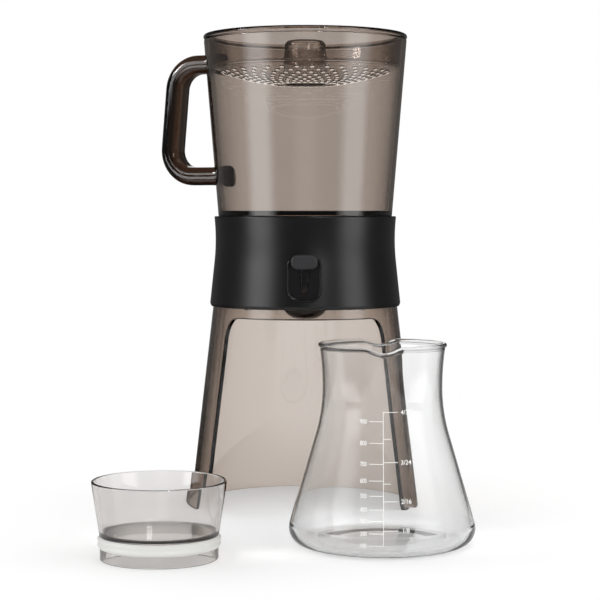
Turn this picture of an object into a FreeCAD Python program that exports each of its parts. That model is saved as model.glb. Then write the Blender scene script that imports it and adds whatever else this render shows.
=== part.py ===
"""Cold brew coffee maker: stand with a drain lever, brewing container, filter, water spreader,
glass carafe and a stopper that doubles as a measuring cup. Millimetres, +Z up.

The origin is on the table, on the axis of the stand. The front, where the lever is, faces -Y.
"""
import FreeCAD, Part
import math
import os

import Sketcher
from FreeCAD import Placement, Rotation, Vector

document = FreeCAD.newDocument("cold_brew_coffee_maker")

# ------------------------------------------------------------------ driving dimensions

# alias, value, what it measures
CELLS = [
    ("overrun", 5.0, "length by which a cut runs past the material"),
    # the stand: a tapered tube, open at the front, with a neck that carries everything above
    ("foot_radius", 94.9, "outer radius of the stand at the table"),
    ("side_slope", 0.115, "radius that the stand loses per millimetre of height"),
    ("stand_wall", 3.6, "wall of the stand"),
    ("foot_edge", 1.0, "bevel of the stand's lower edge"),
    ("shelf_bottom", 165.0, "height of the shelf's underside"),
    ("shelf_bevel", 0.7, "bevel between wall and shelf"),
    ("shelf_hole_radius", 60.0, "round hole in the shelf"),
    ("shoulder_height", 168.0, "height where collar and outlet cover stand on the stand"),
    ("neck_radius", 71.2, "outer radius of the neck inside the collar"),
    ("neck_wall", 3.4, "wall of the neck"),
    ("neck_top", 226.0, "top edge of the neck"),
    ("arch_top", 156.7, "height of the front opening"),
    ("arch_foot_angle", 58.5, "half angle of the front opening at the table"),
    ("arch_head_angle", 53.6, "half angle of the front opening at its top"),
    ("arch_near", 40.0, "distance of the inner outline of the opening from the axis"),
    ("arch_far", 100.0, "distance of the outer outline of the opening from the axis"),
    ("arch_rounding", 17.0, "corner rounding of the inner outline of the opening"),
    # the black collar
    ("collar_foot_radius", 77.6, "outer radius of the collar's lower edge"),
    ("collar_foot_height", 164.8, "height of that edge, which hangs round the stand's shoulder"),
    ("collar_skirt_radius", 76.15, "inner radius of the collar round the stand"),
    ("collar_ledge_radius", 74.4, "inner radius where the collar stands on the shoulder"),
    ("collar_lip_radius", 78.6, "widest radius of the collar"),
    ("collar_lip_height", 167.2, "height of the widest place"),
    ("collar_waist_radius", 75.1, "radius where the straight flank ends"),
    ("collar_waist_height", 200.0, "height where the straight flank ends"),
    ("collar_bow", 170.0, "radius of the hollow curve above the flank"),
    ("collar_rim_radius", 74.9, "outer radius of the collar under its top edge"),
    ("collar_rim_height", 237.7, "height where the top edge starts"),
    ("collar_top", 238.5, "top of the collar"),
    ("collar_edge", 0.8, "chamfer of the top edge"),
    ("collar_wall", 2.6, "wall of the collar"),
    # the sunk plate with the lever's slot
    ("bezel_width", 27.6, "width of the plate"),
    ("bezel_bottom", 171.2, "lower edge of the plate"),
    ("bezel_top", 207.6, "upper edge of the plate"),
    ("bezel_corner", 9.0, "corner rounding of the plate"),
    ("bezel_gap", 0.1, "joint line between plate and collar"),
    ("bezel_rim", 1.4, "width of the raised rim"),
    ("bezel_back", 71.6, "distance of the plate's back from the axis"),
    ("bezel_floor", 72.8, "distance of the sunk floor from the axis"),
    ("slot_width", 6.2, "width of the lever's slot"),
    ("slot_bottom", 178.0, "lower end of the slot"),
    ("slot_top", 204.0, "upper end of the slot"),
    ("window_top", 195.5, "upper end of the window in the neck behind the slot"),
    # the drain lever, on a pin in two lugs
    ("pivot_reach", 45.0, "distance of the pivot in front of the axis"),
    ("pivot_height", 187.0, "height of the pivot"),
    ("pin_radius", 1.5, "radius of the pivot pin"),
    ("running_gap", 0.05, "radial clearance of a running fit"),
    ("arm_width", 4.4, "width of the lever's arm and stem"),
    ("arm_bottom", 183.2, "underside of the arm"),
    ("arm_top", 189.5, "upper side of the arm"),
    ("hub_radius", 5.0, "radius of the lever's hub"),
    ("cam_radius", 4.0, "radius of the rounded pad that lifts the valve"),
    ("cam_width", 8.0, "width of that pad"),
    ("cam_top", 190.6, "highest point of that pad"),
    ("stem_front", 76.3, "distance of the stem's front from the axis"),
    ("stem_back", 73.5, "distance of the stem's back from the axis"),
    ("stem_top", 200.5, "top of the stem, inside the grip"),
    ("rib_width", 0.7, "width of the grooves down the stem"),
    ("rib_depth", 0.6, "depth of those grooves"),
    ("rib_inner", 0.4, "distance of a groove's near side from the middle of the stem"),
    ("rib_bottom", 184.7, "lower end of the grooves"),
    ("rib_top", 196.4, "upper end of the grooves"),
    ("arm_rounding", 0.8, "rounding under the stem's front"),
    ("grip_width", 21.0, "width of the lever's grip"),
    ("grip_bottom", 197.0, "lower edge of the grip"),
    ("grip_top", 208.6, "upper edge of the grip"),
    ("grip_back", 74.8, "distance of the grip's back from the axis"),
    ("grip_front", 81.2, "distance of the grip's front from the axis"),
    ("grip_corner", 5.2, "corner rounding of the grip"),
    ("grip_rounding", 1.8, "rounding of the grip's front edge"),
    ("lug_gap", 0.5, "side clearance between arm and lug"),
    ("lug_width", 3.0, "thickness of each lug"),
    ("lug_foot", 8.0, "half length of a lug at its foot"),
    ("lug_rounding", 4.0, "rounding of a lug's upper corners"),
    ("lug_root", 1.0, "depth of a lug in the cover's plate"),
    # the outlet cover with its bowl
    ("cover_radius", 67.5, "outer radius of the outlet cover"),
    ("cover_top", 170.5, "upper side of the cover's plate"),
    ("bowl_neck_radius", 18.0, "radius of the bowl under the plate"),
    ("bowl_radius", 17.0, "radius where the bowl starts to curve in"),
    ("bowl_shoulder", 160.4, "height where the bowl starts to curve in"),
    ("bowl_bow", 14.0, "radius of the bowl's curve"),
    ("bowl_bottom", 153.8, "lowest point of the bowl"),
    ("bowl_mouth", 7.0, "radius of the flat at the bottom of the bowl"),
    ("bowl_wall", 2.2, "wall of the bowl"),
    ("outlet_radius", 4.5, "radius of the coffee outlet"),
    # screws that hold the cover under the shelf
    ("screw_circle", 63.8, "radius of the circle of screws"),
    ("screw_radius", 1.4, "shank radius of a screw"),
    ("screw_head_radius", 2.7, "head radius of a screw"),
    ("screw_head_height", 1.8, "head height of a screw"),
    ("screw_crown_radius", 2.2, "radius of the flat under a screw's head"),
    ("screw_clearance", 0.2, "clearance round a screw in the shelf"),
    # the tray that the container stands on
    ("seat_top", 229.0, "upper side of the tray"),
    ("seat_hole_radius", 41.0, "hole in the tray for the container's well"),
    ("seat_skirt_bottom", 219.0, "lower end of the tray's skirt"),
    ("seat_skirt_radius", 67.6, "outer radius of the tray's skirt"),
    ("seat_wall", 2.2, "wall of the tray's skirt and inner edge"),
    # the brewing container
    ("body_foot_radius", 71.55, "outer radius of the container at the foot of its wall"),
    ("body_foot_height", 238.8, "height of the foot of the container's wall"),
    ("body_slope", 0.0814, "radius that the container gains per millimetre of height"),
    ("body_wall", 2.8, "wall of the container"),
    ("body_top", 383.0, "rim of the container"),
    ("spigot_radius", 69.6, "outer radius of the foot ring inside the collar"),
    ("spigot_top", 237.2, "height where the foot ring widens to the wall"),
    ("floor_bottom", 239.5, "underside of the container's floor"),
    ("floor_top", 242.3, "upper side of the container's floor"),
    ("rim_edge", 0.8, "bevel of the rims of container and cup"),
    ("floor_bevel", 0.8, "bevel between floor and wall"),
    ("well_radius", 36.0, "inner radius of the filter well"),
    ("well_ledge", 229.5, "height of the ledge that the filter rests on"),
    ("sump_radius", 31.0, "inner radius below the ledge"),
    ("sump_top", 217.3, "floor of the well, where the valve seals"),
    ("sump_bottom", 214.5, "underside of the well"),
    ("drain_radius", 9.0, "radius of the drain hole"),
    # the handle
    ("handle_angle", 24.0, "angle from the left side towards the back"),
    ("handle_root", 70.0, "distance of the bar's ends from the axis before they are trimmed"),
    ("handle_top", 366.0, "height of the upper arm's centre line"),
    ("handle_bottom", 272.0, "height of the lower arm's centre line"),
    ("handle_upper_reach", 117.3, "distance of the upper bend from the axis"),
    ("handle_lower_reach", 125.8, "distance of the lower bend from the axis"),
    ("handle_bend", 22.0, "bend radius of the centre line"),
    ("handle_width", 23.0, "width of the bar"),
    ("handle_thickness", 15.2, "thickness of the bar"),
    ("handle_rounding", 6.2, "rounding of the bar's edges"),
    ("handle_trim", 30.0, "height above and below the bar over which its ends are trimmed"),
    # the housing under the well, with the valve's guide
    ("housing_radius", 16.0, "outer radius of the valve housing"),
    ("housing_wall", 2.0, "wall of the valve housing"),
    ("housing_bottom", 199.0, "underside of the valve housing"),
    ("housing_floor", 2.0, "thickness of its floor"),
    ("housing_foot_radius", 14.0, "radius of the housing's underside"),
    ("housing_foot_height", 202.0, "height where the housing reaches its full radius"),
    ("drip_circle", 9.0, "radius of the circle of drip holes"),
    ("drip_radius", 2.2, "radius of a drip hole"),
    ("drip_count", 6, "number of drip holes"),
    # the valve
    ("rod_radius", 2.5, "radius of the valve's stem"),
    ("rod_bottom", 191.0, "tip of the valve's stem"),
    ("rod_rounding", 0.8, "rounding of that tip"),
    ("rod_flange_radius", 6.4, "radius of the flange under the spring"),
    ("rod_flange_bottom", 201.6, "underside of that flange"),
    ("rod_flange_top", 203.0, "upper side of that flange"),
    ("seal_radius", 11.5, "radius of the valve's seal"),
    ("seal_top", 219.8, "upper side of the valve's seal"),
    ("seal_edge", 218.9, "height of the seal's outer edge"),
    ("head_radius", 10.0, "radius of the valve's head"),
    ("head_edge", 220.9, "height of the head's edge"),
    ("head_top", 222.4, "top of the valve's head"),
    ("head_top_radius", 4.0, "radius of the flat on the valve's head"),
    ("spring_radius", 4.6, "mean radius of the spring"),
    ("spring_wire", 0.8, "thickness of the spring's wire"),
    ("spring_pitch", 2.4, "pitch of the spring"),
    ("spring_gap", 0.05, "clearance at each end of the spring"),
    # the filter in the well
    ("gasket_inner", 31.4, "inner radius of the filter's gasket"),
    ("gasket_outer", 35.6, "outer radius of the filter's gasket"),
    ("gasket_top", 231.0, "upper side of the filter's gasket"),
    ("frame_radius", 35.2, "outer radius of the filter's frame"),
    ("frame_wall", 2.8, "wall of the filter's frame"),
    ("frame_hole_radius", 28.5, "clear radius through the frame"),
    ("frame_sill", 232.2, "height that the mesh rests on"),
    ("frame_top", 239.0, "top of the filter's frame"),
    ("mesh_radius", 32.2, "radius of the mesh disc"),
    ("mesh_top", 232.8, "upper side of the mesh disc"),
    ("spoke_width", 2.6, "width of a spoke"),
    ("spoke_top", 235.4, "upper side of the spokes"),
    ("tab_length", 17.0, "length of the lifting tab"),
    ("tab_width", 2.2, "thickness of the lifting tab"),
    ("tab_top", 243.0, "top of the lifting tab"),
    ("tab_head_length", 13.6, "length of the lifting tab at its top"),
    ("tab_rounding", 2.5, "rounding of the tab's corners"),
    ("tab_root", 0.5, "depth of the tab in the spokes"),
    ("spoke_root", 0.8, "depth of a spoke's ends in the ring"),
    # the water spreader that closes the container
    ("lid_radius", 83.6, "outer radius of the spreader's flange"),
    ("lid_top", 387.0, "top of the spreader"),
    ("lid_edge", 1.0, "bevel of the flange"),
    ("skirt_top_radius", 79.6, "outer radius of the skirt under the flange"),
    ("skirt_foot_radius", 77.7, "outer radius of the skirt at its foot"),
    ("skirt_foot", 361.2, "height of the skirt's foot"),
    ("skirt_wall", 2.1, "wall of the skirt"),
    ("dish_bow", 211.0, "radius of the dish's hollow"),
    ("dish_centre", 347.7, "height of the dish's hollow on the axis"),
    ("dish_wall", 2.0, "thickness of the dish"),
    ("hole_size", 1.1, "half width over corners of a sprinkling hole"),
    ("hole_count", 24, "sprinkling holes in each ring"),
    ("ring_outer", 68.0, "radius of the outermost ring of holes"),
    ("ring_step", 5.8, "distance between rings of holes"),
    ("ring_count", 8, "rings of holes"),
    ("dish_edge", 0.6, "bevel of the dish's lower edge"),
    ("knob_radius", 19.0, "outer radius of the knob at its foot"),
    ("knob_head_radius", 17.4, "outer radius of the knob under its dome"),
    ("knob_head", 379.0, "height where the dome starts"),
    ("knob_brow_radius", 15.9, "radius halfway up the dome"),
    ("knob_brow", 381.6, "height halfway up the dome"),
    ("knob_top_radius", 12.0, "radius of the flat of the dome"),
    ("knob_top", 383.0, "top of the knob"),
    ("knob_wall", 2.2, "wall of the knob"),
    # the glass carafe
    ("carafe_right", 57.75, "carafe's axis to the right of the stand's"),
    ("carafe_front", 178.0, "carafe's axis in front of the stand's"),
    ("glass_wall", 2.2, "wall of the glass"),
    ("glass_floor", 3.0, "thickness of the glass at the bottom"),
    ("belly_edge", 72.2, "radius at the table that the belly's straight flank points to"),
    ("belly_corner", 11.0, "rounding of that corner"),
    ("shoulder_radius", 48.5, "radius where the straight belly ends"),
    ("shoulder_rise", 81.0, "height where the straight belly ends"),
    ("throat_radius", 43.65, "narrowest radius"),
    ("throat_rise", 115.0, "height of the narrowest place"),
    ("shoulder_bow", 122.0, "radius of the curve into the throat"),
    ("mouth_radius", 46.2, "radius of the mouth"),
    ("mouth_rise", 147.0, "height of the mouth"),
    ("mouth_bow", 206.0, "radius of the curve up to the mouth"),
    ("spout_radius", 22.0, "radius of each spout"),
    ("spout_low", 126.0, "height where a spout leaves the throat"),
    ("spout_low_reach", 20.5, "distance of the spout's lower centre from the axis"),
    ("spout_high_reach", 27.8, "distance of the spout's upper centre from the axis"),
    ("lip_width", 19.0, "half width of the dip in the rim over a spout"),
    ("lip_bow", 35.6, "radius of that dip"),
    # the stopper, which is also the measuring cup
    ("stopper_left", 99.95, "stopper's axis to the left of the stand's"),
    ("stopper_front", 235.9, "stopper's axis in front of the stand's"),
    ("plug_radius", 41.5, "outer radius of the plug"),
    ("plug_top", 8.5, "height of the plug below the seal"),
    ("plug_wall", 2.0, "wall of the plug"),
    ("groove_radius", 39.8, "radius of the groove that holds the seal"),
    ("groove_top", 16.7, "upper end of the groove"),
    ("cup_foot_radius", 41.8, "outer radius of the cup above the seal"),
    ("cup_rim_radius", 47.4, "outer radius of the cup's rim"),
    ("cup_top", 54.9, "rim of the cup"),
    ("cup_wall", 2.0, "wall of the cup"),
    ("cup_floor", 18.7, "upper side of the cup's floor"),
    ("band_edge_radius", 42.2, "radius of the silicone band at its edges"),
    ("band_lip_radius", 43.4, "radius of the band's two lips"),
    ("band_valley_radius", 42.5, "radius between the lips"),
]


class Size:
    """A number from the sheet, or a sum of such numbers, that remembers its formula."""

    def __init__(self, number, formula):
        self.number = number
        self.formula = formula

    def __float__(self):
        return float(self.number)

    def joined(self, sign, other, number):
        return Size(number, "(%s %s %s)" % (self.formula, sign, formula_of(other)))

    def __add__(self, other):
        return self.joined("+", other, float(self) + float(other))

    def __sub__(self, other):
        return self.joined("-", other, float(self) - float(other))

    def __mul__(self, other):
        return self.joined("*", other, float(self) * float(other))

    def __truediv__(self, other):
        return self.joined("/", other, float(self) / float(other))

    def __neg__(self):
        return Size(-float(self), "(0 - %s)" % self.formula)


def formula_of(value):
    """The text that an expression uses for a Size or a plain number."""
    return value.formula if isinstance(value, Size) else repr(float(value))


def tangent_of(angle):
    """The tangent of a Size in degrees, as a Size."""
    return Size(math.tan(math.radians(float(angle))), "tan(%s * 1 deg)" % angle.formula)


class Sheet:
    """The spreadsheet, with one attribute for each cell's alias."""

    def __init__(self, cells):
        table = document.addObject("Spreadsheet::Sheet", "sizes")
        for row, (alias, value, meaning) in enumerate(cells, 1):
            table.set("A%d" % row, meaning)
            table.set("B%d" % row, str(value))
            table.setAlias("B%d" % row, alias)
            setattr(self, alias, Size(value, "sizes.%s" % alias))


size = Sheet(CELLS)
document.recompute()

# ------------------------------------------------------------------ sketches and features

H_AXIS, V_AXIS = -1, -2
START, END = 1, 2


def bind(item, name, value):
    """Sets a property of an object from the sheet."""
    item.setExpression(name, formula_of(value))


def new_body(label):
    """A body for one piece, named for it."""
    body = document.addObject("PartDesign::Body", label)
    body.Label = label
    return body


def plane_of(body, role):
    return [item for item in body.Origin.OriginFeatures if item.Role == role][0]


def new_sketch(body, name, role, offset=None):
    """A sketch on one of the body's own planes, or at an offset along the plane's normal."""
    sketch = body.newObject("Sketcher::SketchObject", name)
    sketch.AttachmentSupport = [(plane_of(body, role), "")]
    sketch.MapMode = "FlatFace"
    if offset is not None:
        bind(sketch, "AttachmentOffset.Base.z", offset)
    return sketch


def hold(sketch, edge, place, x, y):
    """Ties one point of a sketch to its distances from the two axes."""
    for kind, value, axis in (("DistanceX", x, V_AXIS), ("DistanceY", y, H_AXIS)):
        if float(value) == 0:
            sketch.addConstraint(Sketcher.Constraint("PointOnObject", edge, place, axis))
            continue
        spot = sketch.addConstraint(Sketcher.Constraint(kind, -1, 1, edge, place, float(value)))
        sketch.setExpression("Constraints[%d]" % spot, formula_of(value))


def hold_radius(sketch, edge, radius):
    spot = sketch.addConstraint(Sketcher.Constraint("Radius", edge, float(radius)))
    sketch.setExpression("Constraints[%d]" % spot, formula_of(radius))


def which_end(sketch, edge, point):
    """The end of an edge, START or END, that lies at a point."""
    near = sketch.getPoint(edge, START).distanceToPoint(point) < 1e-4
    return START if near else END


def corner_arc(before, corner, after, radius):
    """Start, middle and end of the arc of a radius that rounds a corner between two lines."""
    to_before = (before - corner).normalize()
    to_after = (after - corner).normalize()
    half = to_before.getAngle(to_after) / 2
    reach = radius / math.tan(half)
    inward = (to_before + to_after).normalize()
    middle = corner + inward * (radius / math.sin(half) - radius)
    return corner + to_before * reach, middle, corner + to_after * reach


def bowed_middle(start, end, bow):
    """The middle of an arc between two points: its centre is to the left if bow is positive."""
    chord = end - start
    left = Vector(-chord.y, chord.x, 0).normalize()
    side = 1 if bow > 0 else -1
    depth = math.sqrt(bow * bow - chord.Length ** 2 / 4)
    return (start + end) * 0.5 + left * side * (depth - abs(bow))


def outline(sketch, corners):
    """Draws a closed outline whose every size is held by the sheet.

    A corner is (x, y), (x, y, {"round": radius}) where it is rounded between two lines, or
    (x, y, {"bow": radius}) where the edge that starts there is an arc.
    """
    items = [tuple(c) if len(c) == 3 else (c[0], c[1], {}) for c in corners]
    points = [Vector(float(x), float(y), 0) for x, y, extra in items]
    count = len(items)
    arcs = {}
    for i, (x, y, extra) in enumerate(items):
        if "round" in extra:
            following = points[(i + 1) % count]
            arcs[i] = corner_arc(points[i - 1], points[i], following, float(extra["round"]))
    chain = []  # (edge, its start, its end)
    rounded = []  # (corner, line before, arc, line after)
    for i, (x, y, extra) in enumerate(items):
        j = (i + 1) % count
        start = arcs[i][2] if i in arcs else points[i]
        end = arcs[j][0] if j in arcs else points[j]
        if "bow" in extra:
            bow = float(extra["bow"])
            edge = sketch.addGeometry(Part.Arc(start, bowed_middle(start, end, bow), end))
            hold_later = extra["bow"] if bow > 0 else -extra["bow"]
        else:
            edge = sketch.addGeometry(Part.LineSegment(start, end))
            hold_later = None
        chain.append((edge, start, end, hold_later))
        if j in arcs:
            arc = sketch.addGeometry(Part.Arc(*arcs[j]))
            chain.append((arc, arcs[j][0], arcs[j][2], None))
            rounded.append((j, edge, arc))
    after = {i: chain[k][0] for k, i in first_edges(items, arcs)}
    for k, (edge, start, end, radius) in enumerate(chain):
        following = chain[(k + 1) % len(chain)][0]
        smooth = any(following == arc or edge == arc for _, _, arc in rounded)
        kind = "Tangent" if smooth else "Coincident"
        ends = (edge, which_end(sketch, edge, end), following, which_end(sketch, following, end))
        sketch.addConstraint(Sketcher.Constraint(kind, *ends))
        if radius is not None:
            hold_radius(sketch, edge, radius)
    for i, line, arc in rounded:
        x, y, extra = items[i]
        mark = sketch.addGeometry(Part.Point(points[i]), True)
        sketch.addConstraint(Sketcher.Constraint("PointOnObject", mark, START, line))
        sketch.addConstraint(Sketcher.Constraint("PointOnObject", mark, START, after[i]))
        hold(sketch, mark, START, x, y)
        hold_radius(sketch, arc, extra["round"])
    for i, (x, y, extra) in enumerate(items):
        if i not in arcs:
            hold(sketch, after[i], which_end(sketch, after[i], points[i]), x, y)


def first_edges(items, arcs):
    """For each corner, the place in the chain of the edge that starts there."""
    place = 0
    count = len(items)
    for i in range(count):
        yield place, i
        place += 2 if (i + 1) % count in arcs else 1


def circle(sketch, x, y, radius):
    """Draws a circle held by the sheet."""
    edge = sketch.addGeometry(Part.Circle(Vector(float(x), float(y), 0), Vector(0, 0, 1), float(radius)))
    hold(sketch, edge, 3, x, y)
    hold_radius(sketch, edge, radius)


def turned(body, name, corners):
    """A solid of revolution about the body's Z axis, from corners given as (radius, height)."""
    return spin(body, "PartDesign::Revolution", name, corners)


def turned_away(body, name, corners):
    """Takes a solid of revolution off the body."""
    return spin(body, "PartDesign::Groove", name, corners)


def spin(body, kind, name, corners):
    sketch = new_sketch(body, name + "_profile", "XZ_Plane")
    outline(sketch, corners)
    feature = body.newObject(kind, name)
    feature.Profile = sketch
    feature.ReferenceAxis = (sketch, ["V_Axis"])
    feature.Angle = 360
    return feature


def extruded(body, kind, name, sketch, length, reversed_way=False, both_ways=False):
    """A pad or a pocket of a sketch."""
    feature = body.newObject("PartDesign::" + kind, name)
    feature.Profile = sketch
    feature.Reversed = reversed_way
    feature.SideType = "Symmetric" if both_ways else "One side"
    bind(feature, "Length", length)
    return feature


def lofted(body, kind, name, sketches):
    """A straight loft from one sketch to another."""
    feature = body.newObject("PartDesign::" + kind, name)
    feature.Profile = sketches[0]
    feature.Sections = sketches[1:]
    feature.Ruled = True
    return feature


def around(body, feature, count):
    """Repeats a feature round the body's Z axis."""
    pattern = body.newObject("PartDesign::PolarPattern", feature.Name + "_ring")
    pattern.Originals = [feature]
    pattern.Axis = (plane_of(body, "Z_Axis"), [""])
    pattern.Angle = 360
    bind(pattern, "Occurrences", count)
    body.Tip = pattern
    return pattern


def mirrored(body, feature, role):
    """Repeats a feature on the other side of one of the body's planes."""
    copy = body.newObject("PartDesign::Mirrored", feature.Name + "_mirrored")
    copy.Originals = [feature]
    copy.MirrorPlane = (plane_of(body, role), [""])
    body.Tip = copy
    return copy


def rounded_edges(body, name, radius, wanted):
    """Rounds the edges of the body's last feature that a test picks out."""
    document.recompute()
    tip = body.Tip
    names = ["Edge%d" % n for n, edge in enumerate(tip.Shape.Edges, 1) if wanted(edge)]
    feature = body.newObject("PartDesign::Fillet", name)
    feature.Base = (tip, names)
    bind(feature, "Radius", radius)
    return feature


def rectangle(left, bottom, right, top, rounding=None):
    """Corners of a rectangle, rounded if a rounding is given."""
    corners = [(left, bottom), (right, bottom), (right, top), (left, top)]
    if rounding is None:
        return corners
    return [(x, y, {"round": rounding}) for x, y in corners]


# ------------------------------------------------------------------ the stand


def side_radius(height):
    """Outer radius of the stand at a height."""
    return size.foot_radius - size.side_slope * height


def inner_side(height):
    """Inner radius of the stand at a height."""
    return side_radius(height) - size.stand_wall


def stand_shell():
    """Tapered tinted tube with a front opening, a shelf, and the neck inside the collar."""
    body = new_body("stand_shell")
    neck_inside = size.neck_radius - size.neck_wall
    turned(body, "shell", [
        (size.foot_radius - size.foot_edge, 0),
        (side_radius(size.foot_edge), size.foot_edge),
        (side_radius(size.shoulder_height), size.shoulder_height),
        (size.neck_radius, size.shoulder_height),
        (size.neck_radius, size.neck_top),
        (neck_inside, size.neck_top),
        (neck_inside, size.shoulder_height),
        (size.shelf_hole_radius, size.shoulder_height),
        (size.shelf_hole_radius, size.shelf_bottom),
        (inner_side(size.shelf_bottom) - size.shelf_bevel, size.shelf_bottom),
        (inner_side(size.shelf_bottom - size.shelf_bevel), size.shelf_bottom - size.shelf_bevel),
        (inner_side(size.foot_edge), size.foot_edge),
        (inner_side(0) + size.foot_edge, 0),
    ])
    lofted(body, "SubtractiveLoft", "arch", [
        arch_sketch(body, "arch_inner_outline", size.arch_near),
        arch_sketch(body, "arch_outer_outline", size.arch_far),
    ])
    window = new_sketch(body, "lever_window_outline", "XZ_Plane", neck_inside - size.overrun)
    outline(window, rectangle(-size.cam_width / 2, size.slot_bottom, size.cam_width / 2, size.window_top))
    depth = size.neck_wall + size.overrun * 2
    extruded(body, "Pocket", "lever_window", window, depth, reversed_way=True)
    hole = new_sketch(body, "screw_hole_outline", "XY_Plane", size.shelf_bottom - size.overrun)
    across = size.screw_circle * math.sqrt(0.5)
    circle(hole, across, across, size.screw_radius + size.screw_clearance)
    depth = size.shoulder_height - size.shelf_bottom + size.overrun * 2
    around(body, extruded(body, "Pocket", "screw_hole", hole, depth, reversed_way=True), 4)
    return body


def arch_sketch(body, name, distance):
    """Outline of the front opening at a distance from the axis; its sides all point at the axis."""
    foot = tangent_of(size.arch_foot_angle) * distance
    head = tangent_of(size.arch_head_angle) * distance
    rounding = {"round": size.arch_rounding * distance / size.arch_near}
    sketch = new_sketch(body, name, "XZ_Plane", distance)
    outline(sketch, [
        (-foot, -size.overrun),
        (foot, -size.overrun),
        (head, size.arch_top, rounding),
        (-head, size.arch_top, rounding),
    ])
    return sketch


def collar_side(inset):
    """The collar's outer flank from foot to top edge, moved inward by an inset."""
    return [
        (size.collar_foot_radius - inset, size.collar_foot_height),
        (size.collar_lip_radius - inset, size.collar_lip_height),
        (size.collar_waist_radius - inset, size.collar_waist_height, {"bow": -size.collar_bow}),
        (size.collar_rim_radius - inset, size.collar_rim_height),
    ]


def collar():
    """Black waisted collar, with a window for the lever's plate."""
    body = new_body("collar")
    inside = collar_side(size.collar_wall)
    turned(body, "ring", collar_side(0) + [
        (size.collar_rim_radius - size.collar_edge, size.collar_top),
        (size.collar_rim_radius - size.collar_wall, size.collar_top),
        (inside[3][0], inside[3][1], {"bow": size.collar_bow}),
        inside[2][:2],
        (size.collar_ledge_radius, size.shoulder_height),
        (size.collar_skirt_radius, size.shoulder_height),
        (size.collar_skirt_radius, size.collar_foot_height),
    ])
    window = new_sketch(body, "plate_window_outline", "XZ_Plane", size.bezel_back - size.overrun)
    outline(window, bezel_outline(-size.bezel_gap))
    extruded(body, "Pocket", "plate_window", window, size.bezel_floor, reversed_way=True)
    return body


def bezel_outline(inset):
    """Rounded rectangle of the lever's plate, drawn in by an inset."""
    half = size.bezel_width / 2 - inset
    corner = size.bezel_corner - inset
    return rectangle(-half, size.bezel_bottom + inset, half, size.bezel_top - inset, corner)


def lever_bezel():
    """Glossy sunk plate with a raised rim that follows the collar, and the lever's slot."""
    body = new_body("lever_bezel")
    block = new_sketch(body, "plate_outline", "XZ_Plane", size.bezel_back)
    outline(block, bezel_outline(size.bezel_gap))
    extruded(body, "Pad", "plate", block, size.collar_lip_radius - size.bezel_back)
    beyond = size.collar_lip_radius + size.overrun * 2
    turned_away(body, "flush_face", collar_side(0) + [
        (beyond, size.collar_rim_height),
        (beyond, size.collar_foot_height),
    ])
    recess = new_sketch(body, "recess_outline", "XZ_Plane", size.bezel_floor)
    outline(recess, bezel_outline(size.bezel_rim))
    extruded(body, "Pocket", "recess", recess, size.bezel_floor, reversed_way=True)
    slot = new_sketch(body, "slot_outline", "XZ_Plane", size.bezel_floor)
    half = size.slot_width / 2
    outline(slot, rectangle(-half, size.slot_bottom, half, size.slot_top))
    extruded(body, "Pocket", "slot", slot, size.bezel_floor - size.bezel_back + size.overrun)
    return body


def container_seat():
    """Black ring on the neck that the container stands on."""
    body = new_body("container_seat")
    inner_edge = size.seat_hole_radius + size.seat_wall
    turned(body, "tray", [
        (size.seat_hole_radius, size.neck_top - size.seat_wall * 2),
        (inner_edge, size.neck_top - size.seat_wall * 2),
        (inner_edge, size.neck_top),
        (size.seat_skirt_radius - size.seat_wall, size.neck_top),
        (size.seat_skirt_radius - size.seat_wall, size.seat_skirt_bottom),
        (size.seat_skirt_radius, size.seat_skirt_bottom),
        (size.seat_skirt_radius, size.neck_top),
        (size.neck_radius, size.neck_top),
        (size.neck_radius, size.seat_top),
        (size.seat_hole_radius, size.seat_top),
    ])
    return body


def outlet_cover():
    """Black plate on the shelf with the bowl that gathers the coffee, and the lever's two lugs."""
    body = new_body("outlet_cover")
    turned(body, "plate_and_bowl", [
        (size.outlet_radius, size.bowl_bottom),
        (size.bowl_mouth, size.bowl_bottom, {"bow": size.bowl_bow}),
        (size.bowl_radius, size.bowl_shoulder),
        (size.bowl_neck_radius, size.shoulder_height),
        (size.cover_radius, size.shoulder_height),
        (size.cover_radius, size.cover_top),
        (size.bowl_neck_radius - size.bowl_wall, size.cover_top),
        (size.bowl_radius - size.bowl_wall, size.bowl_shoulder, {"bow": -size.bowl_bow}),
        (size.bowl_mouth - size.bowl_wall / 2, size.bowl_bottom + size.bowl_wall),
        (size.outlet_radius, size.bowl_bottom + size.bowl_wall),
    ])
    rounding = {"round": size.lug_rounding}
    lug = new_sketch(body, "lug_outline", "YZ_Plane", size.arm_width / 2 + size.lug_gap)
    outline(lug, [
        (-size.pivot_reach - size.lug_foot, size.cover_top - size.lug_root),
        (-size.pivot_reach + size.lug_foot, size.cover_top - size.lug_root),
        (-size.pivot_reach + size.hub_radius, size.pivot_height + size.hub_radius, rounding),
        (-size.pivot_reach - size.hub_radius, size.pivot_height + size.hub_radius, rounding),
    ])
    mirrored(body, extruded(body, "Pad", "lug", lug, size.lug_width), "YZ_Plane")
    bore = new_sketch(body, "pin_bore_outline", "YZ_Plane")
    circle(bore, -size.pivot_reach, size.pivot_height, size.pin_radius + size.running_gap)
    extruded(body, "Pocket", "pin_bore", bore, size.arm_width + size.lug_width * 4, both_ways=True)
    hole = new_sketch(body, "screw_hole_outline", "XY_Plane", size.shoulder_height - size.overrun)
    across = size.screw_circle * math.sqrt(0.5)
    circle(hole, across, across, size.screw_radius)
    depth = size.cover_top - size.shoulder_height + size.overrun * 2
    around(body, extruded(body, "Pocket", "screw_hole", hole, depth, reversed_way=True), 4)
    return body


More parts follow.
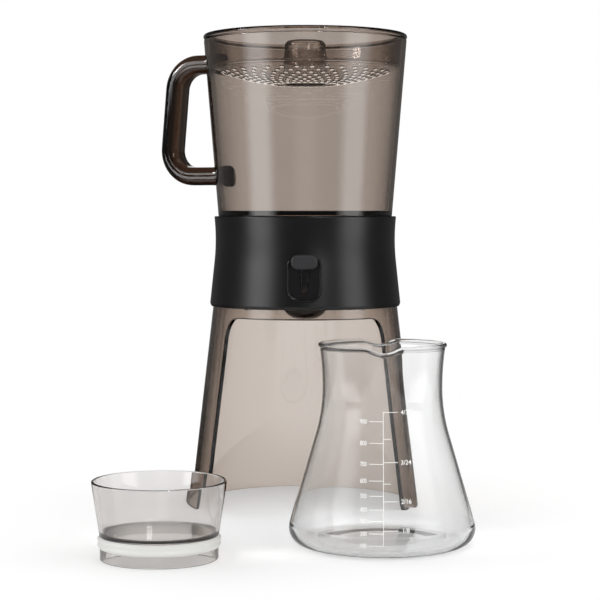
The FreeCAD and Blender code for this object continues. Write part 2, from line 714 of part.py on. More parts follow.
def pivot_pin():
    """Steel pin through the lugs and the lever's hub."""
    pin = document.addObject("Part::Cylinder", "pivot_pin")
    length = size.arm_width + size.lug_gap * 2 + size.lug_width * 2
    bind(pin, "Radius", size.pin_radius)
    bind(pin, "Height", length)
    pin.Placement = Placement(Vector(0, 0, 0), Rotation(Vector(0, 1, 0), 90))
    bind(pin, "Placement.Base.x", -length / 2)
    bind(pin, "Placement.Base.y", -size.pivot_reach)
    bind(pin, "Placement.Base.z", size.pivot_height)
    return pin


def cover_screws():
    """Four pan-head screws, put in from below, that hold the outlet cover on the shelf."""
    screws = document.addObject("Part::Feature", "cover_screws")
    head_bottom = float(size.shelf_bottom) - float(size.screw_head_height)
    shank_length = float(size.cover_top - size.shelf_bottom)
    solids = []
    for quarter in range(4):
        angle = math.radians(45 + 90 * quarter)
        x, y = (float(size.screw_circle) * way for way in (math.cos(angle), math.sin(angle)))
        head = Part.makeCone(
            float(size.screw_crown_radius), float(size.screw_head_radius),
            float(size.screw_head_height), Vector(x, y, head_bottom))
        foot = Vector(x, y, float(size.shelf_bottom))
        shank = Part.makeCylinder(float(size.screw_radius), shank_length, foot)
        solids.append(head.fuse(shank))
    screws.Shape = Part.makeCompound(solids)
    return screws


# ------------------------------------------------------------------ the drain lever


def lever_arm():
    """Rocker on the pin: a ribbed stem in front, a rounded pad under the valve behind."""
    body = new_body("lever_arm")
    side = new_sketch(body, "arm_outline", "YZ_Plane")
    outline(side, [
        (-size.stem_front, size.arm_bottom, {"round": size.arm_rounding}),
        (size.cam_radius / 2, size.arm_bottom),
        (size.cam_radius / 2, size.arm_top),
        (-size.stem_back, size.arm_top),
        (-size.stem_back, size.stem_top),
        (-size.stem_front, size.stem_top),
    ])
    extruded(body, "Pad", "arm", side, size.arm_width, both_ways=True)
    hub = new_sketch(body, "hub_outline", "YZ_Plane")
    circle(hub, -size.pivot_reach, size.pivot_height, size.hub_radius)
    extruded(body, "Pad", "hub", hub, size.arm_width, both_ways=True)
    cam = new_sketch(body, "cam_outline", "YZ_Plane")
    circle(cam, 0, size.cam_top - size.cam_radius, size.cam_radius)
    extruded(body, "Pad", "cam", cam, size.cam_width, both_ways=True)
    bore = new_sketch(body, "bore_outline", "YZ_Plane")
    circle(bore, -size.pivot_reach, size.pivot_height, size.pin_radius + size.running_gap)
    extruded(body, "Pocket", "bore", bore, size.arm_width * 2, both_ways=True)
    rib = new_sketch(body, "rib_outline", "XZ_Plane", size.stem_front - size.rib_depth)
    for left in (size.rib_inner, -size.rib_inner - size.rib_width):
        outline(rib, rectangle(left, size.rib_bottom, left + size.rib_width, size.rib_top))
    extruded(body, "Pocket", "ribs", rib, size.rib_depth + size.overrun, reversed_way=True)
    return body


def lever_grip():
    """Soft grey T-shaped grip, moulded over the top of the stem."""
    body = new_body("lever_grip")
    half = size.grip_width / 2
    face = new_sketch(body, "grip_outline", "XZ_Plane", size.grip_back)
    outline(face, rectangle(-half, size.grip_bottom, half, size.grip_top, size.grip_corner))
    extruded(body, "Pad", "grip", face, size.grip_front - size.grip_back)
    front = float(size.grip_front)
    rounded_edges(body, "soft_edge", size.grip_rounding, lambda edge: edge.BoundBox.YMax < 0.1 - front)
    tongue = new_sketch(body, "stem_pocket_outline", "XY_Plane", size.grip_bottom - size.overrun)
    stem_half = size.arm_width / 2
    outline(tongue, rectangle(-stem_half, -size.stem_front, stem_half, -size.grip_back + size.overrun))
    depth = size.stem_top - size.grip_bottom + size.overrun
    extruded(body, "Pocket", "stem_pocket", tongue, depth, reversed_way=True)
    return body


# ------------------------------------------------------------------ the brewing container


def body_radius(height):
    """Outer radius of the container's wall at a height."""
    return size.body_foot_radius + size.body_slope * (height - size.body_foot_height)


def container():
    """Tinted tapered jug with a foot ring, and a stepped well for filter and valve in its floor."""
    body = new_body("container")
    wall = size.body_wall
    turned(body, "jug", [
        (size.spigot_radius, size.seat_top),
        (size.spigot_radius, size.spigot_top),
        (size.body_foot_radius, size.body_foot_height),
        (body_radius(size.body_top - size.rim_edge), size.body_top - size.rim_edge),
        (body_radius(size.body_top) - size.rim_edge, size.body_top),
        (body_radius(size.body_top) - wall + size.rim_edge, size.body_top),
        (body_radius(size.body_top - size.rim_edge) - wall, size.body_top - size.rim_edge),
        (body_radius(size.floor_top + size.floor_bevel) - wall, size.floor_top + size.floor_bevel),
        (body_radius(size.floor_top) - wall - size.floor_bevel, size.floor_top),
        (size.well_radius, size.floor_top),
        (size.well_radius, size.well_ledge),
        (size.sump_radius, size.well_ledge),
        (size.sump_radius, size.sump_top),
        (size.drain_radius, size.sump_top),
        (size.drain_radius, size.sump_bottom),
        (size.sump_radius, size.sump_bottom),
        (size.sump_radius + wall, size.sump_bottom + wall),
        (size.sump_radius + wall, size.well_ledge - wall),
        (size.well_radius + wall, size.well_ledge - wall),
        (size.well_radius + wall, size.floor_bottom),
        (size.spigot_radius - wall, size.floor_bottom),
        (size.spigot_radius - wall, size.seat_top),
    ])
    return body


def handle():
    """Solid tinted bar, bent to a D and joined to the container's wall at both ends."""
    body = new_body("handle")
    route = new_sketch(body, "route", "XZ_Plane")
    corners = [
        (-size.handle_root, size.handle_top),
        (-size.handle_upper_reach, size.handle_top),
        (-size.handle_lower_reach, size.handle_bottom),
        (-size.handle_root, size.handle_bottom),
    ]
    open_route(route, corners, size.handle_bend)
    section = new_sketch(body, "section", "YZ_Plane", -size.handle_root)
    half = size.handle_width / 2
    low = size.handle_top - size.handle_thickness / 2
    high = size.handle_top + size.handle_thickness / 2
    outline(section, rectangle(-half, low, half, high, size.handle_rounding))
    bar = body.newObject("PartDesign::AdditivePipe", "bar")
    bar.Profile = section
    bar.Spine = (route, ["Edge%d" % n for n in range(1, 6)])
    low = size.handle_bottom - size.handle_trim
    high = size.handle_top + size.handle_trim
    turned_away(body, "wall_fit", [
        (0, low),
        (body_radius(low), low),
        (body_radius(high), high),
        (0, high),
    ])
    body.Placement = Placement(Vector(0, 0, 0), Rotation(Vector(0, 0, 1), 0))
    bind(body, "Placement.Rotation.Angle", -size.handle_angle)
    return body


def open_route(sketch, corners, radius):
    """A line of straight runs joined by tangent arcs of one radius, held by the sheet."""
    points = [Vector(float(x), float(y), 0) for x, y in corners]
    arcs = {}
    for i in range(1, len(points) - 1):
        arcs[i] = corner_arc(points[i - 1], points[i], points[i + 1], float(radius))
    edges = []
    for i in range(len(points) - 1):
        start = arcs[i][2] if i in arcs else points[i]
        end = arcs[i + 1][0] if i + 1 in arcs else points[i + 1]
        edges.append((sketch.addGeometry(Part.LineSegment(start, end)), end))
        if i + 1 in arcs:
            edges.append((sketch.addGeometry(Part.Arc(*arcs[i + 1])), arcs[i + 1][2]))
    for (edge, end), (following, _) in zip(edges, edges[1:]):
        ends = (edge, which_end(sketch, edge, end), following, which_end(sketch, following, end))
        sketch.addConstraint(Sketcher.Constraint("Tangent", *ends))
    hold(sketch, edges[0][0], START, *corners[0])
    hold(sketch, edges[-1][0], END, *corners[-1])
    for i in arcs:
        arc = edges[2 * i - 1][0]
        mark = sketch.addGeometry(Part.Point(points[i]), True)
        sketch.addConstraint(Sketcher.Constraint("PointOnObject", mark, START, edges[2 * i - 2][0]))
        sketch.addConstraint(Sketcher.Constraint("PointOnObject", mark, START, edges[2 * i][0]))
        hold(sketch, mark, START, *corners[i])
        hold_radius(sketch, arc, radius)


def valve_housing():
    """Black cup under the well: it guides the valve's stem and lets the coffee drip through."""
    body = new_body("valve_housing")
    inside = size.housing_radius - size.housing_wall
    floor = size.housing_bottom + size.housing_floor
    turned(body, "cup", [
        (size.rod_radius + size.running_gap, size.housing_bottom),
        (size.housing_foot_radius, size.housing_bottom),
        (size.housing_radius, size.housing_foot_height),
        (size.housing_radius, size.sump_bottom),
        (inside, size.sump_bottom),
        (inside, floor),
        (size.rod_radius + size.running_gap, floor),
    ])
    hole = new_sketch(body, "drip_hole_outline", "XY_Plane", size.housing_bottom - size.overrun)
    circle(hole, size.drip_circle, 0, size.drip_radius)
    depth = size.housing_floor + size.overrun * 2
    drip = extruded(body, "Pocket", "drip_hole", hole, depth, reversed_way=True)
    around(body, drip, size.drip_count)
    return body


def valve_stem():
    """Stem with a domed head that covers the drain hole and a flange that the spring presses."""
    body = new_body("valve_stem")
    turned(body, "stem", [
        (0, size.rod_bottom),
        (size.rod_radius, size.rod_bottom, {"round": size.rod_rounding}),
        (size.rod_radius, size.rod_flange_bottom),
        (size.rod_flange_radius, size.rod_flange_bottom),
        (size.rod_flange_radius, size.rod_flange_top),
        (size.rod_radius, size.rod_flange_top),
        (size.rod_radius, size.seal_top),
        (size.head_radius, size.seal_top),
        (size.head_radius, size.head_edge),
        (size.head_top_radius, size.head_top),
        (0, size.head_top),
    ])
    return body


def valve_seal():
    """Silicone washer under the valve's head."""
    body = new_body("valve_seal")
    turned(body, "washer", [
        (size.rod_radius, size.sump_top),
        (size.seal_radius, size.sump_top),
        (size.seal_radius, size.seal_edge),
        (size.head_radius, size.seal_top),
        (size.rod_radius, size.seal_top),
    ])
    return body


def valve_spring():
    """Steel coil between the well's underside and the stem's flange."""
    body = new_body("valve_spring")
    wire = size.spring_wire
    start = size.rod_flange_top + size.spring_gap
    inner = size.spring_radius - wire / 2
    section = new_sketch(body, "wire_outline", "XZ_Plane")
    outline(section, rectangle(inner, start, inner + wire, start + wire))
    coil = body.newObject("PartDesign::AdditiveHelix", "coil")
    coil.Profile = section
    coil.ReferenceAxis = (section, ["V_Axis"])
    coil.Mode = "pitch-height-angle"
    bind(coil, "Pitch", size.spring_pitch)
    bind(coil, "Height", size.sump_bottom - size.spring_gap - wire - start)
    return body


# ------------------------------------------------------------------ the filter


def filter_frame():
    """Dark ring with four spokes over the mesh and a tab to lift it by."""
    body = new_body("filter_frame")
    inside = size.frame_radius - size.frame_wall
    turned(body, "ring", [
        (size.frame_hole_radius, size.gasket_top),
        (size.frame_radius, size.gasket_top),
        (size.frame_radius, size.frame_top - size.rim_edge),
        (size.frame_radius - size.rim_edge, size.frame_top),
        (inside, size.frame_top),
        (inside, size.frame_sill),
        (size.frame_hole_radius, size.frame_sill),
    ])
    for name, along_x in (("spoke_side", True), ("spoke_front", False)):
        spoke = new_sketch(body, name + "_outline", "XY_Plane", size.mesh_top)
        long_half, short_half = inside + size.spoke_root, size.spoke_width / 2
        x, y = (long_half, short_half) if along_x else (short_half, long_half)
        outline(spoke, rectangle(-x, -y, x, y))
        extruded(body, "Pad", name, spoke, size.spoke_top - size.mesh_top)
    tab = new_sketch(body, "tab_outline", "XZ_Plane")
    half, head_half = size.tab_length / 2, size.tab_head_length / 2
    outline(tab, [
        (-half, size.spoke_top - size.tab_root),
        (half, size.spoke_top - size.tab_root),
        (head_half, size.tab_top, {"round": size.tab_rounding}),
        (-head_half, size.tab_top, {"round": size.tab_rounding}),
    ])
    extruded(body, "Pad", "tab", tab, size.tab_width, both_ways=True)
    return body


def filter_mesh():
    """Fine steel mesh, a thin disc on the frame's sill."""
    body = new_body("filter_mesh")
    turned(body, "disc", [
        (0, size.frame_sill),
        (size.mesh_radius, size.frame_sill),
        (size.mesh_radius, size.mesh_top),
        (0, size.mesh_top),
    ])
    return body


def filter_gasket():
    """Silicone ring between the filter's frame and the ledge of the well."""
    body = new_body("filter_gasket")
    middle = (size.well_ledge + size.gasket_top) / 2
    turned(body, "ring", [
        (size.gasket_inner, size.well_ledge),
        (size.frame_radius, size.well_ledge),
        (size.gasket_outer, middle),
        (size.frame_radius, size.gasket_top),
        (size.gasket_inner, size.gasket_top),
    ])
    return body


# ------------------------------------------------------------------ the water spreader


def spreader_rim():
    """Flange that lies on the container's rim, with the skirt that hangs inside it."""
    body = new_body("spreader_rim")
    wall = size.skirt_wall
    turned(body, "flange_and_skirt", [
        (size.skirt_foot_radius, size.skirt_foot),
        (size.skirt_top_radius, size.body_top),
        (size.lid_radius - size.lid_edge, size.body_top),
        (size.lid_radius, size.body_top + size.lid_edge),
        (size.lid_radius, size.lid_top - size.lid_edge),
        (size.lid_radius - size.lid_edge, size.lid_top),
        (size.skirt_top_radius - wall, size.lid_top),
        (size.skirt_foot_radius - wall, size.skirt_foot),
    ])
    return body


def spreader_plate():
    """Hollow dish under the skirt with staggered rings of sprinkling holes."""
    body = new_body("spreader_plate")
    inner = size.knob_radius
    edge_inside = size.skirt_foot_radius - size.skirt_wall
    edge_bottom = size.skirt_foot - size.dish_wall
    turned(body, "dish", [
        (inner, dish_height(inner) - size.dish_wall, {"bow": size.dish_bow}),
        (edge_inside, edge_bottom),
        (size.skirt_foot_radius, edge_bottom + size.dish_edge),
        (size.skirt_foot_radius, size.skirt_foot),
        (edge_inside, size.skirt_foot, {"bow": -size.dish_bow}),
        (inner, dish_height(inner)),
    ])
    holes = new_sketch(body, "hole_row", "XY_Plane", size.dish_centre - size.dish_wall - size.overrun)
    half_step = math.pi / size.hole_count.number
    for ring in range(size.ring_count.number):
        turn = half_step * (ring % 2)
        distance = size.ring_outer - size.ring_step * ring
        hexagon(holes, distance * math.cos(turn), distance * math.sin(turn), size.hole_size, turn)
    depth = size.skirt_foot - size.dish_centre + size.dish_wall + size.overrun * 2
    around(body, extruded(body, "Pocket", "holes", holes, depth, reversed_way=True), size.hole_count)
    return body


def dish_height(radius):
    """Height of the dish's hollow at a radius."""
    return size.dish_centre + radius * radius / (size.dish_bow * 2)


def hexagon(sketch, x, y, radius, turn):
    """A regular hexagon held by its centre and the radius of its corners."""
    centre = Vector(float(x), float(y), 0)
    rim = sketch.addGeometry(Part.Circle(centre, Vector(0, 0, 1), float(radius)), True)
    hold(sketch, rim, 3, x, y)
    hold_radius(sketch, rim, radius)
    angles = [turn + math.pi / 3 * side for side in range(7)]
    spots = [centre + Vector(math.cos(a), math.sin(a), 0) * float(radius) for a in angles]
    sides = [sketch.addGeometry(Part.LineSegment(a, b)) for a, b in zip(spots, spots[1:])]
    for side, following in zip(sides, sides[1:] + sides[:1]):
        sketch.addConstraint(Sketcher.Constraint("Coincident", side, END, following, START))
        sketch.addConstraint(Sketcher.Constraint("PointOnObject", side, START, rim))
    for side in sides[1:]:
        sketch.addConstraint(Sketcher.Constraint("Equal", sides[0], side))
    sketch.addConstraint(Sketcher.Constraint("Angle", sides[0], turn + 2 * math.pi / 3))


def spreader_knob():
    """Hollow domed knob in the middle of the dish, open below."""
    body = new_body("spreader_knob")
    wall = size.knob_wall
    foot = dish_height(size.knob_radius) - size.dish_wall
    turned(body, "dome", [
        (size.knob_radius, foot),
        (size.knob_head_radius, size.knob_head),
        (size.knob_brow_radius, size.knob_brow),
        (size.knob_top_radius, size.knob_top),
        (0, size.knob_top),
        (0, size.knob_top - wall),
        (size.knob_top_radius - wall / 2, size.knob_top - wall),
        (size.knob_head_radius - wall, size.knob_head - wall / 2),
        (size.knob_radius - wall, foot),
    ])
    return body


# ------------------------------------------------------------------ the carafe


def carafe_side(inset):
    """The carafe's flank from the end of the straight belly to the mouth, moved inward."""
    return [
        (size.shoulder_radius - inset, size.shoulder_rise, {"bow": -size.shoulder_bow}),
        (size.throat_radius - inset, size.throat_rise, {"bow": -size.mouth_bow}),
        (size.mouth_radius - inset, size.mouth_rise),
    ]


def carafe():
    """Conical glass flask with two opposite pouring lips pulled out of its rim."""
    body = new_body("carafe")
    wall = size.glass_wall
    turned(body, "glass", [
        (0, 0),
        (size.belly_edge, 0, {"round": size.belly_corner}),
    ] + carafe_side(0) + [(0, size.mouth_rise)])
    spout(body, "AdditiveLoft", "spout", 0)
    steepness = (size.belly_edge - size.shoulder_radius) / size.shoulder_rise
    turned_away(body, "inside", [
        (0, size.glass_floor),
        (size.belly_edge - steepness * size.glass_floor - wall, size.glass_floor,
         {"round": size.belly_corner - wall}),
    ] + carafe_side(wall) + [
        (size.mouth_radius - wall, size.mouth_rise + size.overrun),
        (0, size.mouth_rise + size.overrun),
    ])
    spout(body, "SubtractiveLoft", "spout_inside", wall)
    dip = new_sketch(body, "rim_dip_outline", "XZ_Plane")
    outline(dip, [
        (-size.lip_width, size.mouth_rise, {"bow": size.lip_bow}),
        (size.lip_width, size.mouth_rise),
        (size.lip_width, size.mouth_rise + size.overrun),
        (-size.lip_width, size.mouth_rise + size.overrun),
    ])
    depth = (size.spout_high_reach + size.spout_radius + size.overrun) * 2
    extruded(body, "Pocket", "rim_dip", dip, depth, both_ways=True)
    body.Placement = Placement(Vector(0, 0, 0), Rotation(Vector(0, 0, 1), 0))
    bind(body, "Placement.Base.x", size.carafe_right)
    bind(body, "Placement.Base.y", -size.carafe_front)
    return body


def spout(body, kind, name, inset):
    """Leaning round column that makes one pouring lip, and its twin at the back."""
    radius = size.spout_radius - inset
    low = ("low", size.spout_low, size.spout_low_reach)
    high = ("high", size.mouth_rise + inset, size.spout_high_reach)
    sections = []
    for part, height, reach in (low, high):
        section = new_sketch(body, "%s_%s_outline" % (name, part), "XY_Plane", height)
        circle(section, 0, -reach, radius)
        sections.append(section)
    return mirrored(body, lofted(body, kind, name, sections), "XZ_Plane")


# ------------------------------------------------------------------ the stopper


def stopper_cup():
    """Tinted measuring cup whose foot is the carafe's stopper."""
    body = new_body("stopper_cup")
    wall = size.cup_wall
    turned(body, "cup", [
        (size.plug_radius - size.plug_wall, 0),
        (size.plug_radius, 0),
        (size.plug_radius, size.plug_top),
        (size.groove_radius, size.plug_top),
        (size.groove_radius, size.groove_top),
        (size.cup_foot_radius, size.groove_top),
        (size.cup_rim_radius, size.cup_top - size.rim_edge),
        (size.cup_rim_radius - size.rim_edge, size.cup_top),
        (size.cup_rim_radius - wall, size.cup_top),
        (size.cup_foot_radius - wall, size.cup_floor + wall),
        (size.cup_foot_radius - wall * 2, size.cup_floor),
        (0, size.cup_floor),
        (0, size.cup_floor - wall),
        (size.groove_radius - size.plug_wall, size.cup_floor - wall),
    ])
    body.Placement = Placement(Vector(0, 0, 0), Rotation(Vector(0, 0, 1), 0))
    bind(body, "Placement.Base.x", -size.stopper_left)
    bind(body, "Placement.Base.y", -size.stopper_front)
    return body


def stopper_seal():
    """White silicone band with two lips in the stopper's groove."""
    body = new_body("stopper_seal")
    middle = (size.plug_top + size.groove_top) / 2
    turned(body, "band", [
        (size.groove_radius, size.plug_top),
        (size.band_edge_radius, size.plug_top),
        (size.band_lip_radius, (size.plug_top + middle) / 2),
        (size.band_valley_radius, middle),
        (size.band_lip_radius, (size.groove_top + middle) / 2),
        (size.band_edge_radius, size.groove_top),
        (size.groove_radius, size.groove_top),
    ])
    body.Placement = Placement(Vector(0, 0, 0), Rotation(Vector(0, 0, 1), 0))
    bind(body, "Placement.Base.x", -size.stopper_left)
    bind(body, "Placement.Base.y", -size.stopper_front)
    return body


# ------------------------------------------------------------------ build, check and write

PIECES = [
    stand_shell, collar, lever_bezel, container_seat, outlet_cover, pivot_pin, cover_screws,
    lever_arm, lever_grip,
    container, handle, valve_housing, valve_stem, valve_seal, valve_spring,
    filter_frame, filter_mesh, filter_gasket,
    spreader_rim, spreader_plate, spreader_knob,
    carafe, stopper_cup, stopper_seal,
]


def check(pieces):
    """Stops with a message if any object failed, any piece is not a sound solid, or a cut cut nothing."""
    for item in document.Objects:
        if "Invalid" in item.State or "Error" in item.State:
            raise RuntimeError("%s failed: %s" % (item.Label, item.State))
        cuts = item.TypeId in ("PartDesign::Pocket", "PartDesign::Groove", "PartDesign::SubtractiveLoft")
        if cuts and item.Shape.Volume > item.BaseFeature.Shape.Volume - 0.01:
            raise RuntimeError("%s cut nothing" % item.Label)
    for piece in pieces:
        if piece.Shape.isNull() or not piece.Shape.isValid():
            raise RuntimeError("%s is not a sound shape" % piece.Label)
        if not piece.Shape.Solids:
            raise RuntimeError("%s holds no solid" % piece.Label)


made = [make() for make in PIECES]
document.recompute()
check(made)
os.makedirs("parts", exist_ok=True)
for piece in made:
    piece.Shape.exportStep("parts/%s.step" % piece.Label)
    box = piece.Shape.BoundBox
    print("%-16s %d solid(s) %9.0f mm3  z %.1f to %.1f" % (
        piece.Label, len(piece.Shape.Solids), piece.Shape.Volume, box.ZMin, box.ZMax))
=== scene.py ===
import math

import bmesh
import bpy
from mathutils import Matrix, Vector


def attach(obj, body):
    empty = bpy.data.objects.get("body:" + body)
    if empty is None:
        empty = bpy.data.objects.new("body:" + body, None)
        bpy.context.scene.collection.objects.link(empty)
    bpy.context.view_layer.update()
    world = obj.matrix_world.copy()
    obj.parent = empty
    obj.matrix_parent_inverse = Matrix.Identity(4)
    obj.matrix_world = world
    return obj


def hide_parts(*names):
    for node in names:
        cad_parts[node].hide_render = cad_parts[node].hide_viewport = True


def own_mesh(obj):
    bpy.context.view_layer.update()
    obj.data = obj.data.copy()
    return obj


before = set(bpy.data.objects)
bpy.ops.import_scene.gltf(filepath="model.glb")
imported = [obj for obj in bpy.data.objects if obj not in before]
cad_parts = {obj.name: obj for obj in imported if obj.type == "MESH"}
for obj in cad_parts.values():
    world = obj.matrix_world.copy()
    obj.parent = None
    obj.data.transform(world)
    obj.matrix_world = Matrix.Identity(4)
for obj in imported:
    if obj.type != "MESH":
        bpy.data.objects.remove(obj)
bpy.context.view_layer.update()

# ---------------------------------------------------------------- stand
# The stand is one injection moulding in clear smoke copolyester, polished: a tapered tube
# with an arched opening in front, a shelf, and a neck that disappears inside the collar.
# The tint is in the resin, so a wall seen edge on is nearly black, and brown-grey face on.

MM = 0.001


def linear(hex_code):
    """The linear colour of an sRGB hex value."""
    parts = [int(hex_code[i:i + 2], 16) / 255 for i in (0, 2, 4)]
    return [c / 12.92 if c <= 0.04045 else ((c + 0.055) / 1.055) ** 2.4 for c in parts] + [1.0]


def add_node(tree, kind, inputs=None, **settings):
    """Adds a node, gives it its settings and fills its sockets with values or links.

    A socket links as it is, and a node links from its first output.
    """
    made = tree.nodes.new(kind)
    for name, value in settings.items():
        setattr(made, name, value)
    for socket, value in (inputs or {}).items():
        if isinstance(value, bpy.types.Node):
            value = value.outputs[0]
        if isinstance(value, bpy.types.NodeSocket):
            tree.links.new(value, made.inputs[socket])
        else:
            made.inputs[socket].default_value = value
    return made


def new_material(name):
    """An empty material and its node tree."""
    material = bpy.data.materials.new(name)
    material.use_nodes = True
    material.node_tree.nodes.clear()
    return material, material.node_tree


def clear_material(name, per_metre, ior, ripple_mm, ripple_depth_mm, lamp_tint):
    """A clear moulding: per_metre is what it absorbs of red, green and blue along a metre of ray.

    Its surface has the faint long ripples that moulding or blowing leaves. The light of the lamps
    is tinted by lamp_tint at each surface that it passes.
    """
    material, tree = new_material(name)
    place = add_node(tree, "ShaderNodeTexCoord").outputs["Object"]
    flow = add_node(tree, "ShaderNodeTexNoise", {
        "Vector": place, "Scale": 1 / (ripple_mm * MM), "Detail": 1.0})
    ripple = add_node(tree, "ShaderNodeBump", {
        "Height": flow, "Strength": 1.0, "Distance": ripple_depth_mm * MM})
    glass = add_node(tree, "ShaderNodeBsdfPrincipled", {
        "Base Color": linear("ffffff"), "Roughness": 0.0, "IOR": ior,
        "Transmission Weight": 1.0, "Normal": ripple})
    lamp_ray = add_node(tree, "ShaderNodeLightPath").outputs["Is Shadow Ray"]
    passed = add_node(tree, "ShaderNodeBsdfTransparent", {"Color": lamp_tint})
    surface = add_node(tree, "ShaderNodeMixShader", {0: lamp_ray, 1: glass, 2: passed})
    density = max(per_metre)
    resin = add_node(tree, "ShaderNodeVolumeAbsorption", {
        "Density": density,
        "Color": tuple(1 - absorbed / density for absorbed in per_metre) + (1.0,)})
    add_node(tree, "ShaderNodeOutputMaterial", {"Surface": surface, "Volume": resin})
    return material


smoke = clear_material(
    "smoke_copolyester", per_metre=(143.0, 174.0, 199.0), ior=1.56,
    ripple_mm=30, ripple_depth_mm=0.01, lamp_tint=(0.85, 0.83, 0.81, 1))


def softened(corners, steps=4):
    """Points of an outline: a corner (across, height, rounding) becomes an arc of steps."""
    points = []
    for i, (across, height, radius) in enumerate(corners):
        corner = Vector((across, height))
        if radius == 0:
            points.append(corner)
            continue
        to_before = (Vector(corners[i - 1][:2]) - corner).normalized()
        to_after = (Vector(corners[(i + 1) % len(corners)][:2]) - corner).normalized()
        half = to_before.angle(to_after) / 2
        centre = corner + (to_before + to_after).normalized() * (radius / math.sin(half))
        start = corner + to_before * (radius / math.tan(half)) - centre
        end = corner + to_after * (radius / math.tan(half)) - centre
        for step in range(steps + 1):
            points.append(centre + start.slerp(end, step / steps) * radius)
    return points


def finish_skin(piece, sharp):
    """Smooth shading that follows the large faces and keeps edges sharper than an angle."""
    piece.data.shade_smooth()
    piece.data.set_sharp_from_angle(angle=math.radians(sharp))
    even = piece.modifiers.new("even_shading", "WEIGHTED_NORMAL")
    even.keep_sharp = True


def new_mesh(name, points, faces, material, sharp=35):
    """A smooth piece from points in millimetres and faces."""
    mesh = bpy.data.meshes.new(name)
    mesh.from_pydata([Vector(point) * MM for point in points], [], faces)
    work = bmesh.new()
    work.from_mesh(mesh)
    bmesh.ops.recalc_face_normals(work, faces=work.faces)
    work.to_mesh(mesh)
    work.free()
    mesh.materials.append(material)
    piece = bpy.data.objects.new(name, mesh)
    bpy.context.collection.objects.link(piece)
    finish_skin(piece, sharp)
    return piece


def place_on(piece, body, slot, *nodes):
    """The piece rides on a body, in place of CAD nodes. Its slot, a finish of the record, is not
    used.
    """
    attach(piece, body)
    if nodes:
        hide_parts(*nodes)
    return piece


def coat(material, *nodes):
    """Gives these pieces of the frame this material."""
    for name in nodes:
        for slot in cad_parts[name].material_slots:
            slot.material = material


foot_radius, side_slope, wall = 94.9, 0.115, 3.6
middle_height, middle_reach = 80.0, 85.0  # half way up, one radian is about 85 mm round
opening_top, opening_foot, opening_foot_angle, opening_head_angle = 156.7, -5.0, 58.5, 53.6
opening_corner, opening_plane, toe = 20.4, 48.0, 1.4
edge_round = 0.7
arch_band = 160.0  # height above which the tube is whole
shelf_bottom, shoulder, neck_top = 165.0, 168.0, 226.0
shelf_bore, neck_inside, neck_outside = 60.0, 67.8, 71.2
foot_steps, toe_steps, leg_steps, corner_steps, top_steps = 44, 4, 44, 14, 16


def stand_edge():
    """The tube's lower edge as (angle from the front, height): foot, leg and arch, all round."""
    middle_radius = foot_radius - side_slope * middle_height
    tan_foot = math.tan(math.radians(opening_foot_angle))
    tan_head = math.tan(math.radians(opening_head_angle))
    lean = (tan_head - tan_foot) / (opening_top - opening_foot)

    def leg_angle(height):
        """Half the opening's angle at a height."""
        return math.atan(tan_foot + lean * (height - opening_foot))

    tilt = math.atan(-lean * opening_plane)
    corner_start = opening_top - opening_corner * (1 - math.sin(tilt))
    corner_x = opening_plane * math.tan(leg_angle(corner_start)) - opening_corner * math.cos(tilt)
    toe_angle = leg_angle(toe) + toe / middle_radius
    half = [(math.pi - (math.pi - toe_angle) * i / foot_steps, 0.0) for i in range(foot_steps + 1)]
    for i in range(1, toe_steps):
        turn = math.radians(90 * i / toe_steps)
        half.append((toe_angle - toe / middle_radius * math.sin(turn), toe * (1 - math.cos(turn))))
    for i in range(leg_steps + 1):
        height = toe + (corner_start - toe) * i / leg_steps
        half.append((leg_angle(height), height))
    for i in range(1, corner_steps + 1):
        turn = tilt + (math.pi / 2 - tilt) * i / corner_steps
        across = corner_x + opening_corner * math.cos(turn)
        height = opening_top - opening_corner * (1 - math.sin(turn))
        half.append((math.atan(across / opening_plane), height))
    top_angle = half[-1][0]
    half += [(top_angle * (1 - i / top_steps), opening_top) for i in range(1, top_steps + 1)]
    return half + [(-angle, height) for angle, height in half[-2:0:-1]]


def stand_tube():
    """Closed columns of points of the tube, its arch with soft edges, the shelf and the neck."""
    edge = stand_edge()
    upper = softened([
        (foot_radius - side_slope * arch_band - wall, arch_band, 0),
        (foot_radius - side_slope * shelf_bottom - wall, shelf_bottom, 0.8),
        (shelf_bore, shelf_bottom, 0.4), (shelf_bore, shoulder, 0.4), (neck_inside, shoulder, 0),
        (neck_inside, neck_top, 0.6), (neck_outside, neck_top, 0.6), (neck_outside, shoulder, 0),
        (foot_radius - side_slope * shoulder, shoulder, 0.6),
        (foot_radius - side_slope * arch_band, arch_band, 0),
    ])
    rows, turns = 14, 4
    points = []
    for i, (angle, height) in enumerate(edge):
        before, after = edge[i - 1], edge[(i + 1) % len(edge)]
        along = (after[0] - before[0] + math.pi) % (2 * math.pi) - math.pi
        tangent = Vector((along * middle_reach, after[1] - before[1])).normalized()
        inward = Vector((tangent.y, -tangent.x))

        def spot(depth, offset, share):
            """A point of the wall, by its depth, its offset from the edge and its share up."""
            start = height + inward.y * offset
            level = start + (arch_band - start) * share
            outer = foot_radius - side_slope * level
            turn = angle + inward.x * offset / outer * (1 - share)
            return ((outer - depth) * math.sin(turn), -(outer - depth) * math.cos(turn), level)

        column = [(p.x * math.sin(angle), -p.x * math.cos(angle), p.y) for p in upper]
        column += [spot(0, edge_round, (rows - row) / rows) for row in range(1, rows + 1)]
        bends = [math.radians(90 * turn / turns) for turn in range(turns + 1)]
        for bend in bends[1:]:
            depth, offset = (edge_round * (1 - f(bend)) for f in (math.cos, math.sin))
            column.append(spot(depth, offset, 0))
        for bend in bends:
            depth, offset = (edge_round * (1 - f(bend)) for f in (math.sin, math.cos))
            column.append(spot(wall - depth, offset, 0))
        column += [spot(wall, edge_round, row / rows) for row in range(1, rows)]
        points.append(column)
    return points


